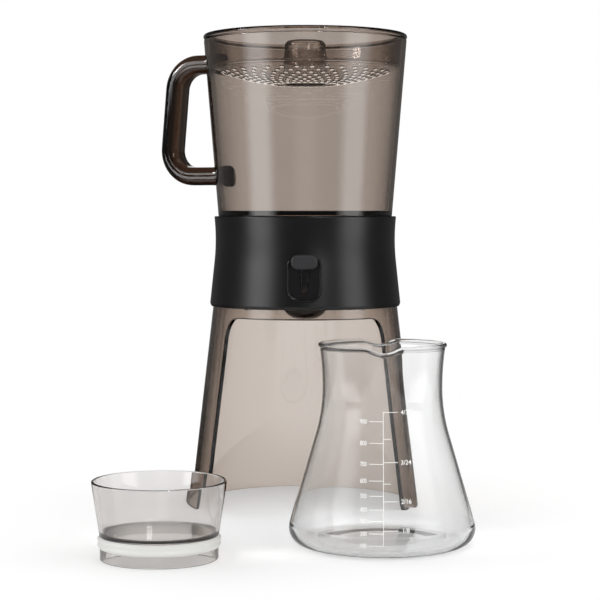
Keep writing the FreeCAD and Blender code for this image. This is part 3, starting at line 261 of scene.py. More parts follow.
def woven(columns):
    """Points and faces of a closed skin made of closed columns that follow each other round."""
    high = len(columns[0])
    points = [point for column in columns for point in column]
    faces = []
    for i in range(len(columns)):
        here, there = i * high, ((i + 1) % len(columns)) * high
        for k in range(high):
            up = (k + 1) % high
            faces.append((here + k, there + k, there + up, here + up))
    return points, faces


tube = new_mesh("stand_tube", *woven(stand_tube()), smoke)
place_on(tube, "stand", "tinted_plastic", "stand_shell")

# ---------------------------------------------------------------- collar
# A waisted ring in black ABS stands on the tube's shoulder and hides the neck and the valve.
# It is moulded in a finely etched tool, which gives a soft satin sheen.


def plastic_material(name, colour, roughness, grain_mm, grain_depth_mm):
    """A solid moulding with the fine grain of its tool.

    A real grain is too fine to show, so it is drawn coarser, at about half a millimetre.
    """
    material, tree = new_material(name)
    place = add_node(tree, "ShaderNodeTexCoord").outputs["Object"]
    grain = add_node(tree, "ShaderNodeTexNoise", {
        "Vector": place, "Scale": 1 / (grain_mm * MM), "Detail": 2.0})
    etched = add_node(tree, "ShaderNodeBump", {
        "Height": grain, "Strength": 1.0, "Distance": grain_depth_mm * MM})
    smear = add_node(tree, "ShaderNodeMapRange", {
        "Value": grain, "To Min": roughness * 0.9, "To Max": roughness * 1.1})
    skin = add_node(tree, "ShaderNodeBsdfPrincipled", {
        "Base Color": linear(colour), "Roughness": smear, "IOR": 1.5, "Normal": etched})
    add_node(tree, "ShaderNodeOutputMaterial", {"Surface": skin})
    return material


def turned(outline, sides=192, centre=(0, 0)):
    """Points and faces of an outline turned about an upright axis; it may end on the axis."""
    points, rings, faces = [], [], []
    for across, height in outline:
        ring = []
        count = 1 if across < 1e-6 else sides
        for side in range(count):
            turn = 2 * math.pi * side / sides
            ring.append(len(points))
            x, y = centre[0] + across * math.sin(turn), centre[1] - across * math.cos(turn)
            points.append((x, y, height))
        rings.append(ring)
    for i, ring in enumerate(rings):
        after = rings[(i + 1) % len(rings)]
        if len(ring) == 1 and len(after) == 1:
            continue
        for side in range(sides):
            corners = [ring[side % len(ring)], ring[(side + 1) % len(ring)],
                       after[(side + 1) % len(after)], after[side % len(after)]]
            faces.append(tuple(dict.fromkeys(corners)))
    return points, faces


satin_black = plastic_material(
    "etched_black_abs", "0e0e0f", roughness=0.3, grain_mm=0.7, grain_depth_mm=0.008)
flare, flare_height, waist, waist_height = 78.6, 167.2, 75.1, 200.0
rim, rim_height, rim_round, hollow = 74.9, 237.0, 0.7, 1.045
collar_foot, collar_top = 164.8, 238.5


def flank(height):
    """The collar's outer radius: a straight flare below the waist, a hollow curve above it."""
    if height < waist_height:
        return waist + (flare - waist) * (waist_height - height) / (waist_height - flare_height)
    share = (height - waist_height) / (rim_height + rim_round - waist_height)
    return waist + (rim - waist) * share - 4 * hollow * share * (1 - share)


hollow_steps = 24
curve_heights = [waist_height + (rim_height - waist_height) * i / hollow_steps
                 for i in range(1, hollow_steps)]
collar_outline = softened(
    [(77.6, collar_foot, 0.5), (flare, flare_height, 1.0), (waist, waist_height, 0)]
    + [(flank(height), height, 0) for height in curve_heights]
    + [(rim, collar_top, 0.9), (72.3, collar_top, 0.5), (72.5, waist_height, 0),
       (74.4, shoulder, 0.2), (76.15, shoulder, 0.3), (76.15, collar_foot, 0.5)], steps=6)
collar = new_mesh("waisted_collar", *turned(collar_outline, 240), satin_black)

plate_half, plate_bottom, plate_top, plate_corner, plate_gap = 13.8, 171.2, 207.6, 9.0, 0.1


def plate_loop(inset, depth, steps=10):
    """The plate's rounded outline, drawn in by an inset, at a depth in front of the axis.

    Without a depth it lies on the collar's outside.
    """
    half, corner = plate_half - inset, plate_corner - inset
    line = softened([
        (-half, plate_bottom + inset, corner), (half, plate_bottom + inset, corner),
        (half, plate_top - inset, corner), (-half, plate_top - inset, corner)], steps)
    if depth is not None:
        return [(p.x, -depth, p.y) for p in line]
    return [(p.x, -math.sqrt(flank(p.y) ** 2 - p.x ** 2), p.y) for p in line]


def stacked(loops, closed=True):
    """Points and faces of a skin over loops of equal length; open ends are capped."""
    count = len(loops[0])
    points = [point for loop in loops for point in loop]
    faces = []
    for i in range(len(loops) if closed else len(loops) - 1):
        here, there = i * count, ((i + 1) % len(loops)) * count
        for k in range(count):
            after = (k + 1) % count
            faces.append((here + k, here + after, there + after, there + k))
    if not closed:
        faces += [tuple(range(count)), tuple(range((len(loops) - 1) * count, len(loops) * count))]
    return points, faces


def applied(piece):
    """A new mesh of what a piece is with its modifiers."""
    graph = bpy.context.evaluated_depsgraph_get()
    return bpy.data.meshes.new_from_object(piece.evaluated_get(graph))


def combined(piece, other, operation):
    """Cuts another piece out of this one, or makes the two one skin, and removes the other."""
    step = piece.modifiers.new("combined", "BOOLEAN")
    step.operation = operation
    step.object = other
    piece.modifiers.move(len(piece.modifiers) - 1, 0)
    piece.data = applied(piece)
    piece.modifiers.clear()
    bpy.data.objects.remove(other)


window_back, window_front = 60.0, 90.0
combined(collar, new_mesh("window_cutter", *stacked([
    plate_loop(-plate_gap, window_back), plate_loop(-plate_gap, window_front)],
    closed=False), satin_black), "DIFFERENCE")
eased = collar.modifiers.new("eased_window", "BEVEL")
eased.limit_method = "ANGLE"
eased.angle_limit = math.radians(60)
eased.width = 0.35 * MM
eased.segments = 3
finish_skin(collar, 40)
place_on(collar, "stand", "black_plastic", "collar")
coat(satin_black, "container_seat", "outlet_cover")

# ---------------------------------------------------------------- lever plate
# The sunk plate round the lever is black ABS from a finer tool than the collar's, so it shines
# more. Its raised rim is flush with the collar, and the lever comes out through a slot.


gloss_black = plastic_material(
    "fine_black_abs", "1a1a1c", roughness=0.2, grain_mm=0.7, grain_depth_mm=0.001)
plate_floor, plate_back, floor_inset = 72.8, 71.6, 2.2
slot_half, slot_bottom, slot_top = 3.1, 178.0, 204.0
# The raised rim as (inset, distance behind the collar's surface), and the way down from it to
# the sunk floor as (inset, distance in front of the axis).
raised_rim = [(plate_gap, 0.4), (plate_gap + 0.1, 0.15), (plate_gap + 0.35, 0),
              (1.15, 0), (1.35, 0.12), (1.45, 0.4)]
sunk_floor = [(1.5, plate_floor + 0.5), (1.6, plate_floor + 0.2), (2.0, plate_floor)]


def slot_loop(depth):
    """The slot's outline with as many points as the plate's, each towards its plate point."""
    middle, half_height = (slot_bottom + slot_top) / 2, (slot_top - slot_bottom) / 2
    loop = []
    for x, _, z in plate_loop(floor_inset, 0):
        reach = max(abs(x) / slot_half, abs(z - middle) / half_height)
        loop.append(Vector((x / reach, -depth, middle + (z - middle) / reach)))
    for side in (-1, 1):
        for end in (-1, 1):
            corner = Vector((side * slot_half, -depth, middle + end * half_height))
            away = [(spot - corner).length for spot in loop]
            loop[away.index(min(away))] = corner
    return loop


plate_loops = [plate_loop(plate_gap, plate_back)]
for inset, behind in raised_rim:
    plate_loops.append([(x, y + behind, z) for x, y, z in plate_loop(inset, None)])
plate_loops += [plate_loop(inset, depth) for inset, depth in sunk_floor]
plate_loops += [slot_loop(plate_floor), slot_loop(plate_back)]
plate = new_mesh("lever_plate", *stacked(plate_loops), gloss_black)
place_on(plate, "stand", "gloss_black_plastic", "lever_bezel")

# ---------------------------------------------------------------- lever
# A black ABS rocker turns on a drawn steel pin between two lugs. Its grip is a dark grey
# elastomer moulded over the stem, soft to the touch and matt to the eye.

coat(satin_black, "lever_arm")
soft_grip = plastic_material(
    "soft_touch_elastomer", "29292c", roughness=0.5, grain_mm=0.5, grain_depth_mm=0.01)
coat(soft_grip, "lever_grip")
steel = plastic_material(
    "drawn_steel", "b4b4b6", roughness=0.28, grain_mm=0.3, grain_depth_mm=0.001)
steel.node_tree.nodes["Principled BSDF"].inputs["Metallic"].default_value = 1.0
coat(steel, "pivot_pin", "cover_screws")

# ---------------------------------------------------------------- brewing container
# A tapered jug in the same smoke copolyester, with its D handle moulded in one piece with it.
# A stepped well in its floor holds the filter, and a foot ring drops into the collar.

body_foot, body_foot_height, body_slope, body_wall = 71.55, 238.8, 0.0814, 2.8
body_floor, floor_under, body_lip = 242.3, 239.5, 382.9
foot_ring, foot_ring_inside, foot_ring_bottom, ledge = 69.6, 66.8, 229.0, 237.2
well, well_outside, step_level, step_under = 36.0, 38.8, 229.5, 226.7
pit, pit_outside, pit_floor, pit_under, drain = 31.0, 33.8, 217.3, 214.5, 9.0


def body_radius(height):
    """The container's outer radius at a height."""
    return body_foot + body_slope * (height - body_foot_height)


body_rim = body_radius(383.0)
jug_outline = softened([
    (foot_ring, foot_ring_bottom, 0.5), (foot_ring, ledge, 0.5),
    (body_foot, body_foot_height, 0.6),
    (body_rim, body_lip, 1.2), (body_rim - body_wall, body_lip, 1.2),
    (body_radius(body_floor) - body_wall, body_floor, 1.0),
    (well, body_floor, 0.8), (well, step_level, 0.5), (pit, step_level, 0.5),
    (pit, pit_floor, 1.0), (drain, pit_floor, 0.5), (drain, pit_under, 0.5),
    (pit, pit_under, 1.0), (pit_outside, pit_floor, 1.0), (pit_outside, step_under, 0.5),
    (well_outside, step_under, 1.0), (well_outside, floor_under, 0.8),
    (foot_ring_inside, floor_under, 0.8), (foot_ring_inside, foot_ring_bottom, 0.5),
])
jug = new_mesh("brewing_jug", *turned(jug_outline), smoke)

handle_angle = 24.0
handle_top, handle_bottom, handle_bend = 366.0, 272.0, 22.0
upper_root, lower_root, upper_reach, lower_reach = 80.2, 72.5, 117.3, 125.8
bar_width, bar_thickness, bar_rounding, bar_step = 23.0, 15.2, 6.4, 2.5
root_flare, side_flare, root_length = 1.25, 0.6, 9.0


def handle_bar():
    """The bar's skin: a rounded section led along the D, flared where it meets the wall."""
    line = softened([
        (upper_root, handle_top, 0), (upper_reach, handle_top, handle_bend),
        (lower_reach, handle_bottom, handle_bend), (lower_root, handle_bottom, 0)], steps=14)
    route = []
    for start, end in zip(line, line[1:]):
        pieces = max(1, round((end - start).length / bar_step))
        route += [start.lerp(end, i / pieces) for i in range(pieces)]
    route.append(line[-1])
    run = [0.0]
    for start, end in zip(route, route[1:]):
        run.append(run[-1] + (end - start).length)
    half, rise = bar_width / 2, bar_thickness / 2
    section = softened([(-half, -rise, bar_rounding), (half, -rise, bar_rounding),
                        (half, rise, bar_rounding), (-half, rise, bar_rounding)], steps=8)
    angle = math.radians(handle_angle)
    out = Vector((-math.cos(angle), math.sin(angle), 0))
    side = Vector((out.y, -out.x, 0))
    loops = []
    for i, spot in enumerate(route):
        before, after = route[max(i - 1, 0)], route[min(i + 1, len(route) - 1)]
        along = (after - before).normalized()
        across = Vector((-along.y, along.x))
        to_root = min(run[i], run[-1] - run[i]) / root_length
        swell = (root_flare - 1) * max(0.0, 1 - to_root) ** 2
        loop = []
        for p in section:
            level = spot + across * p.y * (1 + swell)
            sideways = side * p.x * (1 + swell * side_flare)
            loop.append(out * level.x + sideways + Vector((0, 0, level.y)))
        loops.append(loop)
    return stacked(loops, closed=False)


combined(jug, new_mesh("handle_bar", *handle_bar(), smoke), "UNION")
finish_skin(jug, 35)
place_on(jug, "brew_container", "tinted_plastic", "container", "handle")

# ---------------------------------------------------------------- valve and filter
# Under the well, a black guide holds a stem that a steel spring keeps shut. In the well lies
# the filter: woven steel in a black ring with a gasket of white, half matt silicone.

coat(satin_black, "valve_housing", "valve_stem", "filter_frame")
silicone = plastic_material(
    "moulded_silicone", "e9e9e5", roughness=0.45, grain_mm=0.6, grain_depth_mm=0.002)
coat(silicone, "valve_seal", "filter_gasket")
coil_radius, coil_wire, coil_pitch, coil_low, coil_high = 4.6, 0.8, 2.4, 203.05, 214.45
steps_a_turn, wire_sides = 32, 10


def coil():
    """Points and faces of the spring: round wire along a helix, with flat ends."""
    rise = coil_high - coil_low - coil_wire
    steps = round(rise / coil_pitch * steps_a_turn)
    loops = []
    for i in range(steps + 1):
        turn = 2 * math.pi * rise / coil_pitch * i / steps
        loop = []
        for k in range(wire_sides):
            bend = 2 * math.pi * k / wire_sides
            across = coil_radius + coil_wire / 2 * math.cos(bend)
            level = coil_low + coil_wire / 2 * (1 + math.sin(bend)) + rise * i / steps
            loop.append((across * math.cos(turn), across * math.sin(turn), level))
        loops.append(loop)
    return stacked(loops, closed=False)


spring = new_mesh("valve_coil", *coil(), steel)
place_on(spring, "brew_container", "steel", "valve_spring")
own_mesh(spring)


def woven_steel(pitch_mm):
    """Fine wire woven over and under: two sets of waves lift the surface in turn."""
    material, tree = new_material("woven_steel")
    place = add_node(tree, "ShaderNodeTexCoord").outputs["Object"]
    wave_length = math.pi / 10  # the length of one wave at a scale of 1
    waves = []
    for axis in ("X", "Y"):
        wires = add_node(tree, "ShaderNodeTexWave", {
            "Vector": place, "Scale": wave_length / (2 * pitch_mm * MM)}, bands_direction=axis)
        waves.append(add_node(tree, "ShaderNodeMath", {
            0: wires.outputs["Fac"], 1: 0.5}, operation="SUBTRACT"))
    weave = add_node(tree, "ShaderNodeMath", dict(enumerate(waves)), operation="MULTIPLY")
    raised = add_node(tree, "ShaderNodeBump", {
        "Height": weave, "Strength": 1.0, "Distance": pitch_mm * MM})
    wire = add_node(tree, "ShaderNodeBsdfPrincipled", {
        "Base Color": linear("8f8f91"), "Metallic": 1.0, "Roughness": 0.35, "Normal": raised})
    add_node(tree, "ShaderNodeOutputMaterial", {"Surface": wire})
    return material


# Such a weave has about 0.15 mm from wire to wire, too fine to show, so it is drawn coarser.
coat(woven_steel(pitch_mm=0.5), "filter_mesh")

# ---------------------------------------------------------------- water spreader
# One thin smoke moulding closes the container: a flange on the rim, a skirt inside it, a hollow
# dish with rings of sprinkling holes, and a hollow knob to lift it by. The mouths of the drip
# teats under the holes get a white skin that glows: a painted highlight, shown as white dots.

cells, rings_of_holes, ring_outer, ring_step, hole_radius = 36, 8, 68.0, 5.8, 1.15
cell_sides, hole_sides = 4, 16
dish_centre, dish_bow, dish_wall = 347.7, 211.0, 2.0
skirt, skirt_inside, flange, flange_seat, flange_top = 77.7, 75.6, 83.6, 383.05, 387.0
knob_root, knob_root_inside, knob_top, knob_under = 19.0, 16.8, 383.6, 381.4
# The drip teat under each hole, as (radius, distance below the dish) from its root to its mouth.
teat = [(1.75, 0), (1.6, 0.55), (1.45, 0.9), (1.2, 1.15), (0.9, 1.2)]


def dish_level(across):
    """Height of the dish's hollow at a radius."""
    return dish_centre + across ** 2 / (2 * dish_bow)


def spreader():
    """The moulding as one closed skin, with round holes through the dish."""
    sides = cells * cell_sides
    points, faces = [], []

    def point_at(across, turn, height):
        """Adds a point at a radius and a turn about the axis, and gives its number."""
        points.append((across * math.sin(turn), -across * math.cos(turn), height))
        return len(points) - 1

    def circle_at(across, height):
        """Adds a circle of points about the axis, or the one point on it."""
        count = 1 if across < 1e-6 else sides
        return [point_at(across, 2 * math.pi * side / sides, height) for side in range(count)]

    def ribbon(low, high):
        """Adds the faces between two circles."""
        for side in range(sides):
            corners = [low[side % len(low)], low[(side + 1) % len(low)],
                       high[(side + 1) % len(high)], high[side % len(high)]]
            faces.append(tuple(dict.fromkeys(corners)))

    def tube_between(high, low):
        """Adds the faces between two loops of a hole."""
        for k in range(hole_sides):
            up = (k + 1) % hole_sides
            faces.append((high[k], high[up], low[up], low[k]))

    circles = [ring_outer + ring_step / 2 - ring_step * i for i in range(rings_of_holes + 1)]
    drops = (0.0, dish_wall)
    decks = [[circle_at(reach, dish_level(reach) - drop) for reach in circles] for drop in drops]
    for ring, (outside, inside) in enumerate(zip(circles, circles[1:])):
        middle = (outside + inside) / 2
        shift = cell_sides // 2 * (ring % 2)
        walls = []
        for deck, drop in zip(decks, drops):
            outer, inner = deck[ring], deck[ring + 1]
            spokes = []
            for cell in range(cells):
                turn = 2 * math.pi * (cell * cell_sides + shift) / sides
                spoke = []
                for step in range(1, cell_sides):
                    reach = outside + (inside - outside) * step / cell_sides
                    spoke.append(point_at(reach, turn, dish_level(reach) - drop))
                spokes.append(spoke)
            holes = []
            for cell in range(cells):
                first = cell * cell_sides + shift
                last = first + cell_sides
                centre_turn = 2 * math.pi * (first + cell_sides / 2) / sides
                border = [outer[(first + k) % sides] for k in range(cell_sides)]
                border += [outer[last % sides]] + spokes[(cell + 1) % cells]
                border += [inner[(last - k) % sides] for k in range(cell_sides)]
                border += [inner[first % sides]] + spokes[cell][::-1]
                mouths = []
                for radius, below in [(hole_radius, 0)] if drop == 0 else teat:
                    mouth_loop = []
                    for k in range(hole_sides):
                        bend = math.pi * 3 / 4 - math.pi * 2 * k / hole_sides
                        reach = middle + radius * math.sin(bend)
                        turn = centre_turn + radius * math.cos(bend) / middle
                        mouth_loop.append(point_at(reach, turn, dish_level(reach) - drop - below))
                    mouths.append(mouth_loop)
                tube_between(border, mouths[0])
                holes.append(mouths)
            walls.append(holes)
        for upper, lower in zip(*walls):
            chain = upper + lower[::-1]
            for high, low in zip(chain, chain[1:]):
                tube_between(high, low)
    edge, knob_edge = circles[0], circles[-1]
    flange_side = softened([
        (edge, dish_level(edge) - dish_wall, 0), (skirt_inside, 359.2, 1.5), (skirt, 360.4, 1.2),
        (79.45, flange_seat, 0.5), (flange, flange_seat, 1.8), (flange, flange_top, 1.9),
        (79.4, flange_top, 0.8), (77.2, 383.4, 1.0), (skirt_inside, 361.2, 2.5),
        (edge, dish_level(edge), 0)])
    knob_side = softened([
        (knob_edge, dish_level(knob_edge), 0), (knob_root, dish_level(knob_root), 1.2),
        (16.9, 379.4, 2.4), (14.6, 382.6, 4.0), (0, knob_top, 0), (0, knob_under, 0),
        (13.0, 380.6, 3.0), (14.9, 378.0, 2.0),
        (knob_root_inside, dish_level(knob_root_inside) - dish_wall, 0.6),
        (knob_edge, dish_level(knob_edge) - dish_wall, 0)])
    for first, outline, last in ((decks[1][0], flange_side, decks[0][0]),
                                 (decks[0][-1], knob_side, decks[1][-1])):
        loops = [first] + [circle_at(p.x, p.y) for p in outline[1:-1]] + [last]
        for low, high in zip(loops, loops[1:]):
            if len(low) > 1 or len(high) > 1:
                ribbon(low, high)
    return points, faces


sprinkler = new_mesh("sprinkler_dish", *spreader(), smoke)
# The teats' mouths get a white skin that glows, though it is no lamp: painted highlights, shown as
# white dots.
teat_highlight = plastic_material(
    "teat_painted_highlight", "e8e5e2", roughness=0.4, grain_mm=0.7, grain_depth_mm=0.004)
teat_highlight_skin = teat_highlight.node_tree.nodes["Principled BSDF"].inputs
teat_highlight_skin["Emission Color"].default_value = linear("e8e5e2")
teat_highlight_skin["Emission Strength"].default_value = 1.3
sprinkler.data.materials.append(teat_highlight)
# Teat faces lower than this under the dish take the glowing white skin of painted highlight.
teats_from, teats_to, highlight_below = 20.0, ring_outer + 2.5, 0.85
for face in sprinkler.data.polygons:
    spot = face.center / MM
    across = math.hypot(spot.x, spot.y)
    under = dish_level(across) - dish_wall - spot.z
    if teats_from < across < teats_to and under > highlight_below:
        face.material_index = 1
place_on(sprinkler, "water_spreader", "tinted_plastic",
         "spreader_rim", "spreader_plate", "spreader_knob")

# ---------------------------------------------------------------- flask
# A conical flask blown in borosilicate glass, which is nearly colourless and grey at its edges.
# It has a rolled rim and two opposite pouring lips, pressed out of it while it is soft.

borosilicate = clear_material(
    "borosilicate_glass", per_metre=(16.0, 15.0, 15.5), ior=1.474,
    ripple_mm=22, ripple_depth_mm=0.02, lamp_tint=(0.975, 0.975, 0.975, 1))
flask_right, flask_front = 57.75, 178.0
glass_wall, glass_floor, floor_rise, foot_hollow = 1.6, 2.6, 3.4, 0.9
foot_level, flask_steps = 16.0, 60  # the foot's rounding ends at this level
bead, bead_inset, bead_root = 1.6, 0.9, 2.8
throat, throat_level, mouth, mouth_level = 43.65, 115.0, 46.2, 147.0
belly_reach, belly_lean, belly_level = 72.2, 0.2926, 81.0
shoulder_bow, mouth_bow = 122.0, 206.0
lip_start, lip_reach, lip_dip = 122.0, 3.6, 4.0
lip_half_angle, dip_half_angle = 22.0, 19.0


def flask_radius(height):
    """The flask's outer radius above the rounding of its foot."""
    if height < belly_level:
        return belly_reach - belly_lean * height
    bow = shoulder_bow if height < throat_level else mouth_bow
    return throat + bow - math.sqrt(bow ** 2 - (height - throat_level) ** 2)


def flask():
    """The flask's skin, outside and inside, with its lips and the dips of its rim."""
    rise = mouth_level - bead_root - foot_level
    levels = [foot_level + rise * i / flask_steps for i in range(flask_steps + 1)]
    outline = softened([
        (0, foot_hollow, 0), (36, foot_hollow, 12), (48, 0, 8), (belly_reach, 0, 12),
        (flask_radius(foot_level), foot_level, 0)], steps=8)[:-1]
    outline += [Vector((flask_radius(level), level)) for level in levels]
    for turn in [math.radians(-30 + 24 * i) for i in range(11)]:
        outline.append(Vector((mouth - bead_inset + bead * math.cos(turn),
                               mouth_level - bead + bead * math.sin(turn))))
    outline += [Vector((flask_radius(level) - glass_wall, level)) for level in reversed(levels)]
    outline += softened([
        (flask_radius(foot_level) - glass_wall, foot_level, 0),
        (belly_reach - glass_floor, glass_floor, 10.6), (40, glass_floor, 20),
        (0, floor_rise, 0)], steps=8)[1:]
    points, faces = turned(outline, sides=216)
    shaped = []
    for x, y, z in points:
        across = math.hypot(x, y)
        if z > lip_start:
            share = (z - lip_start) / (mouth_level - lip_start)
            off = abs(math.degrees(math.atan2(x, abs(y))))
            lip = 0.5 + 0.5 * math.cos(math.pi * min(off / lip_half_angle, 1))
            dip = 0.5 + 0.5 * math.cos(math.pi * min(off / dip_half_angle, 1))
            grown = (across + lip_reach * lip ** 1.5 * share ** 2) / across
            x, y, z = x * grown, y * grown, z - lip_dip * dip * share ** 1.5
        shaped.append((x + flask_right, y - flask_front, z))
    return shaped, faces


glass = new_mesh("glass_flask", *flask(), borosilicate, sharp=60)
place_on(glass, "carafe", "clear_glass", "carafe")

# The volume scale is white enamel, printed on the outside and fired in, so it is dense and half
# matt: a line down the front, strokes to both sides of it, and plain numbers.


def enamel_material():
    """Fired white enamel: dense, slightly rough, with the screen's faint unevenness. It also glows
    faintly, a painted light that lightens the print.
    """
    material, tree = new_material("fired_white_enamel")
    place = add_node(tree, "ShaderNodeTexCoord").outputs["Object"]
    grain = add_node(tree, "ShaderNodeTexNoise", {
        "Vector": place, "Scale": 1 / (0.8 * MM), "Detail": 2.0})
    smear = add_node(tree, "ShaderNodeMapRange", {
        "Value": grain, "To Min": 0.4, "To Max": 0.55})
    # The faint emission is painted light: the print glows a little, though it is no lamp.
    print_coat = add_node(tree, "ShaderNodeBsdfPrincipled", {
        "Base Color": linear("f7f7f5"), "Roughness": smear,
        "Emission Color": linear("ffffff"), "Emission Strength": 0.1})
    add_node(tree, "ShaderNodeOutputMaterial", {"Surface": print_coat})
    return material


enamel = enamel_material()
scale_turn = -1.0  # degrees from the front, below zero towards the left
line_width, long_stroke, short_stroke, left_stroke, line_end = 0.42, 10.2, 5.2, 10.0, 0.3
print_middle, print_half = 0.04, 0.03  # how the enamel stands off the glass
right_levels = [101.0, 66.6, 40.2, 20.7]
half_levels = [82.4, 52.1]
left_levels = [94.5, 79.6, 65.4, 54.1, 43.9, 34.7, 27.0, 18.7, 10.7]


def on_flask(across, level, lift):
    """A point on the flask's front, at a distance across from the scale's line."""
    radius = flask_radius(level) + lift
    turn = math.radians(scale_turn) + math.asin(across / radius)
    return (flask_right + radius * math.sin(turn), -flask_front - radius * math.cos(turn), level)


def stroke(left, right, low, high):
    """A printed bar that follows the glass, in steps of 1 mm across and 2 mm up.

    Its two sheets, near the glass and away from it, are joined round their border.
    """
    steps_across = max(1, round((right - left) / 1.0))
    steps_up = max(1, round((high - low) / 2.0))
    points, faces = [], []
    for lift in (print_middle - print_half, print_middle + print_half):
        for up in range(steps_up + 1):
            for step in range(steps_across + 1):
                points.append(on_flask(left + (right - left) * step / steps_across,
                                       low + (high - low) * up / steps_up, lift))
    wide, sheet = steps_across + 1, (steps_across + 1) * (steps_up + 1)
    for base in (0, sheet):
        for up in range(steps_up):
            for step in range(steps_across):
                a = base + up * wide + step
                faces.append((a, a + 1, a + wide + 1, a + wide))
    border = [k for k in range(wide)] + [wide * (up + 1) + wide - 1 for up in range(steps_up)]
    border += [steps_up * wide + k for k in reversed(range(wide - 1))]
    border += [wide * up for up in reversed(range(1, steps_up))]
    for i, k in enumerate(border):
        after = border[(i + 1) % len(border)]
        faces.append((k, after, after + sheet, k + sheet))
    return points, faces


def gathered(parts):
    """Several sets of points and faces as one."""
    points, faces = [], []
    for some_points, some_faces in parts:
        base = len(points)
        points += some_points
        faces += [tuple(base + k for k in face) for face in some_faces]
    return points, faces


def tick(left, right, level):
    """A stroke of the scale at a level."""
    return stroke(left, right, level - line_width / 2, level + line_width / 2)


marks = [stroke(-line_width / 2, line_width / 2,
                left_levels[-1] - line_end, right_levels[0] + line_end)]
marks += [tick(line_width / 2, long_stroke, level) for level in right_levels]
marks += [tick(line_width / 2, short_stroke, level) for level in half_levels]
marks += [tick(-left_stroke, -line_width / 2, level) for level in left_levels]
digit_height, digit_of_font, digit_bold = 3.1, 0.7, 0.04


def number(text, across, level, squeeze):
    """The points and faces of a printed number on the flask, centred at a place."""
    curve = bpy.data.curves.new("number", "FONT")
    curve.body = text
    curve.size = digit_height * MM / digit_of_font
    curve.extrude = print_half * MM
    curve.resolution_u = 3
    curve.offset = digit_bold * MM
    flat = bpy.data.objects.new("number", curve)
    bpy.context.collection.objects.link(flat)
    bpy.context.view_layer.update()
    mesh = applied(flat)
    work = bmesh.new()
    work.from_mesh(mesh)
    bmesh.ops.remove_doubles(work, verts=work.verts, dist=0.002 * MM)
    work.to_mesh(mesh)
    work.free()
    spots = [v.co / MM for v in mesh.vertices]
    middle = (min(p.x for p in spots) + max(p.x for p in spots)) / 2
    points = [on_flask(across + (p.x - middle) * squeeze, level + p.y - digit_height / 2,
                       print_middle + p.z) for p in spots]
    faces = [tuple(face.vertices) for face in mesh.polygons]
    bpy.data.objects.remove(flat)
    return points, faces


for k, level in enumerate(left_levels):
    marks.append(number(str(900 - 100 * k), -left_stroke - 4.0, level, squeeze=0.72))
for text, level in zip(("4/32", "3/24", "2/16", "1/8"), right_levels):
    marks.append(number(text, long_stroke + 5.8, level, squeeze=0.95))
scale_print = new_mesh("printed_scale", *gathered(marks), enamel)
place_on(scale_print, "carafe", "clear_glass")

# ---------------------------------------------------------------- stopper cup
# A measuring cup in a paler smoke copolyester. Its foot is the flask's stopper, with a white
# silicone band in a groove round it.

pale_smoke = clear_material(
    "pale_smoke_copolyester", per_metre=(58.0, 68.0, 74.0), ior=1.56,
    ripple_mm=30, ripple_depth_mm=0.01, lamp_tint=(0.93, 0.92, 0.91, 1))
cup_left, cup_front = 99.95, 235.9
cup_root, cup_mouth, cup_top, cup_wall = 41.8, 47.4, 54.9, 2.0
cup_floor, cup_floor_under = 18.7, 17.3
plug, groove, groove_low, groove_high = 41.5, 39.8, 8.5, 16.7
cup_outline = softened([
    (plug - cup_wall, 0, 0.5), (plug, 0, 0.8), (plug, groove_low, 0.4), (groove, groove_low, 0.2),
    (groove, groove_high, 0.2), (cup_root, groove_high, 0.5), (cup_mouth, cup_top, 0.8),
    (cup_mouth - cup_wall, cup_top, 0.8), (39.9, cup_floor, 2.2), (0, cup_floor, 0),
    (0, cup_floor_under, 0), (37.8, cup_floor_under, 0.6)])
cup = new_mesh("measuring_cup", *turned(cup_outline, 180, (-cup_left, -cup_front)), pale_smoke)
place_on(cup, "stopper", "tinted_plastic", "stopper_cup")
band_bore, band_low, band_high, band_edge, lips, between_lips = 39.9, 8.6, 16.6, 42.1, 43.4, 42.5
band_outline = softened([
    (band_bore, band_low, 0.1), (band_edge, band_low, 0.4), (lips, 10.5, 0.7),
    (between_lips, 12.6, 0.8), (lips, 14.7, 0.7), (band_edge, band_high, 0.4),
    (band_bore, band_high, 0.1)])
band = new_mesh("silicone_band", *turned(band_outline, 180, (-cup_left, -cup_front)), silicone)
place_on(band, "stopper", "silicone", "stopper_seal")

# ---------------------------------------------------------------- studio
# White paper on the floor of a white room. Clear walls refract its main directions white and
# its diagonals dark, which draws their edges. Polished skins mirror a dim room with two lit
# cloths in front, on both sides, and two small window lamps.

bpy.ops.mesh.primitive_plane_add(size=14, location=(0, 0, 0))
floor = bpy.context.object
floor.name = "studio_floor"


def soft_edge(value, start, end, before=1.0, after=0.0):
    """The sockets of a level that goes from before to after while a value passes an edge."""
    return {"Value": value, "From Min": start, "From Max": end, "To Min": before, "To Max": after}


soft = {"interpolation_type": "SMOOTHSTEP"}  # the edge begins and ends smoothly


def quarter_zone(tree, place, allowance, middle=0.0):
    """1 along the four main directions and 0 along the diagonals between them.

    The directions start at a middle right of the axis, and an allowance in metres widens them.
    """
    across = add_node(tree, "ShaderNodeMath", {
        0: place.outputs["X"], 1: middle}, operation="SUBTRACT")
    size = [add_node(tree, "ShaderNodeMath", {0: way}, operation="ABSOLUTE")
            for way in (across, place.outputs["Y"])]
    least, most = [add_node(tree, "ShaderNodeMath", dict(enumerate(size)), operation=which)
                   for which in ("MINIMUM", "MAXIMUM")]
    less = add_node(tree, "ShaderNodeMath", {0: least, 1: allowance}, operation="SUBTRACT")
    share = add_node(tree, "ShaderNodeMath", {0: less, 1: most}, operation="DIVIDE")
    return add_node(tree, "ShaderNodeMapRange", soft_edge(share, 0.08, 0.3), **soft)


cloths = ((-57, 3.4), (62, 2.8))  # degrees from the front towards the right, and level
cloth_full, cloth_end = math.radians(6), math.radians(24)  # from a cloth's middle


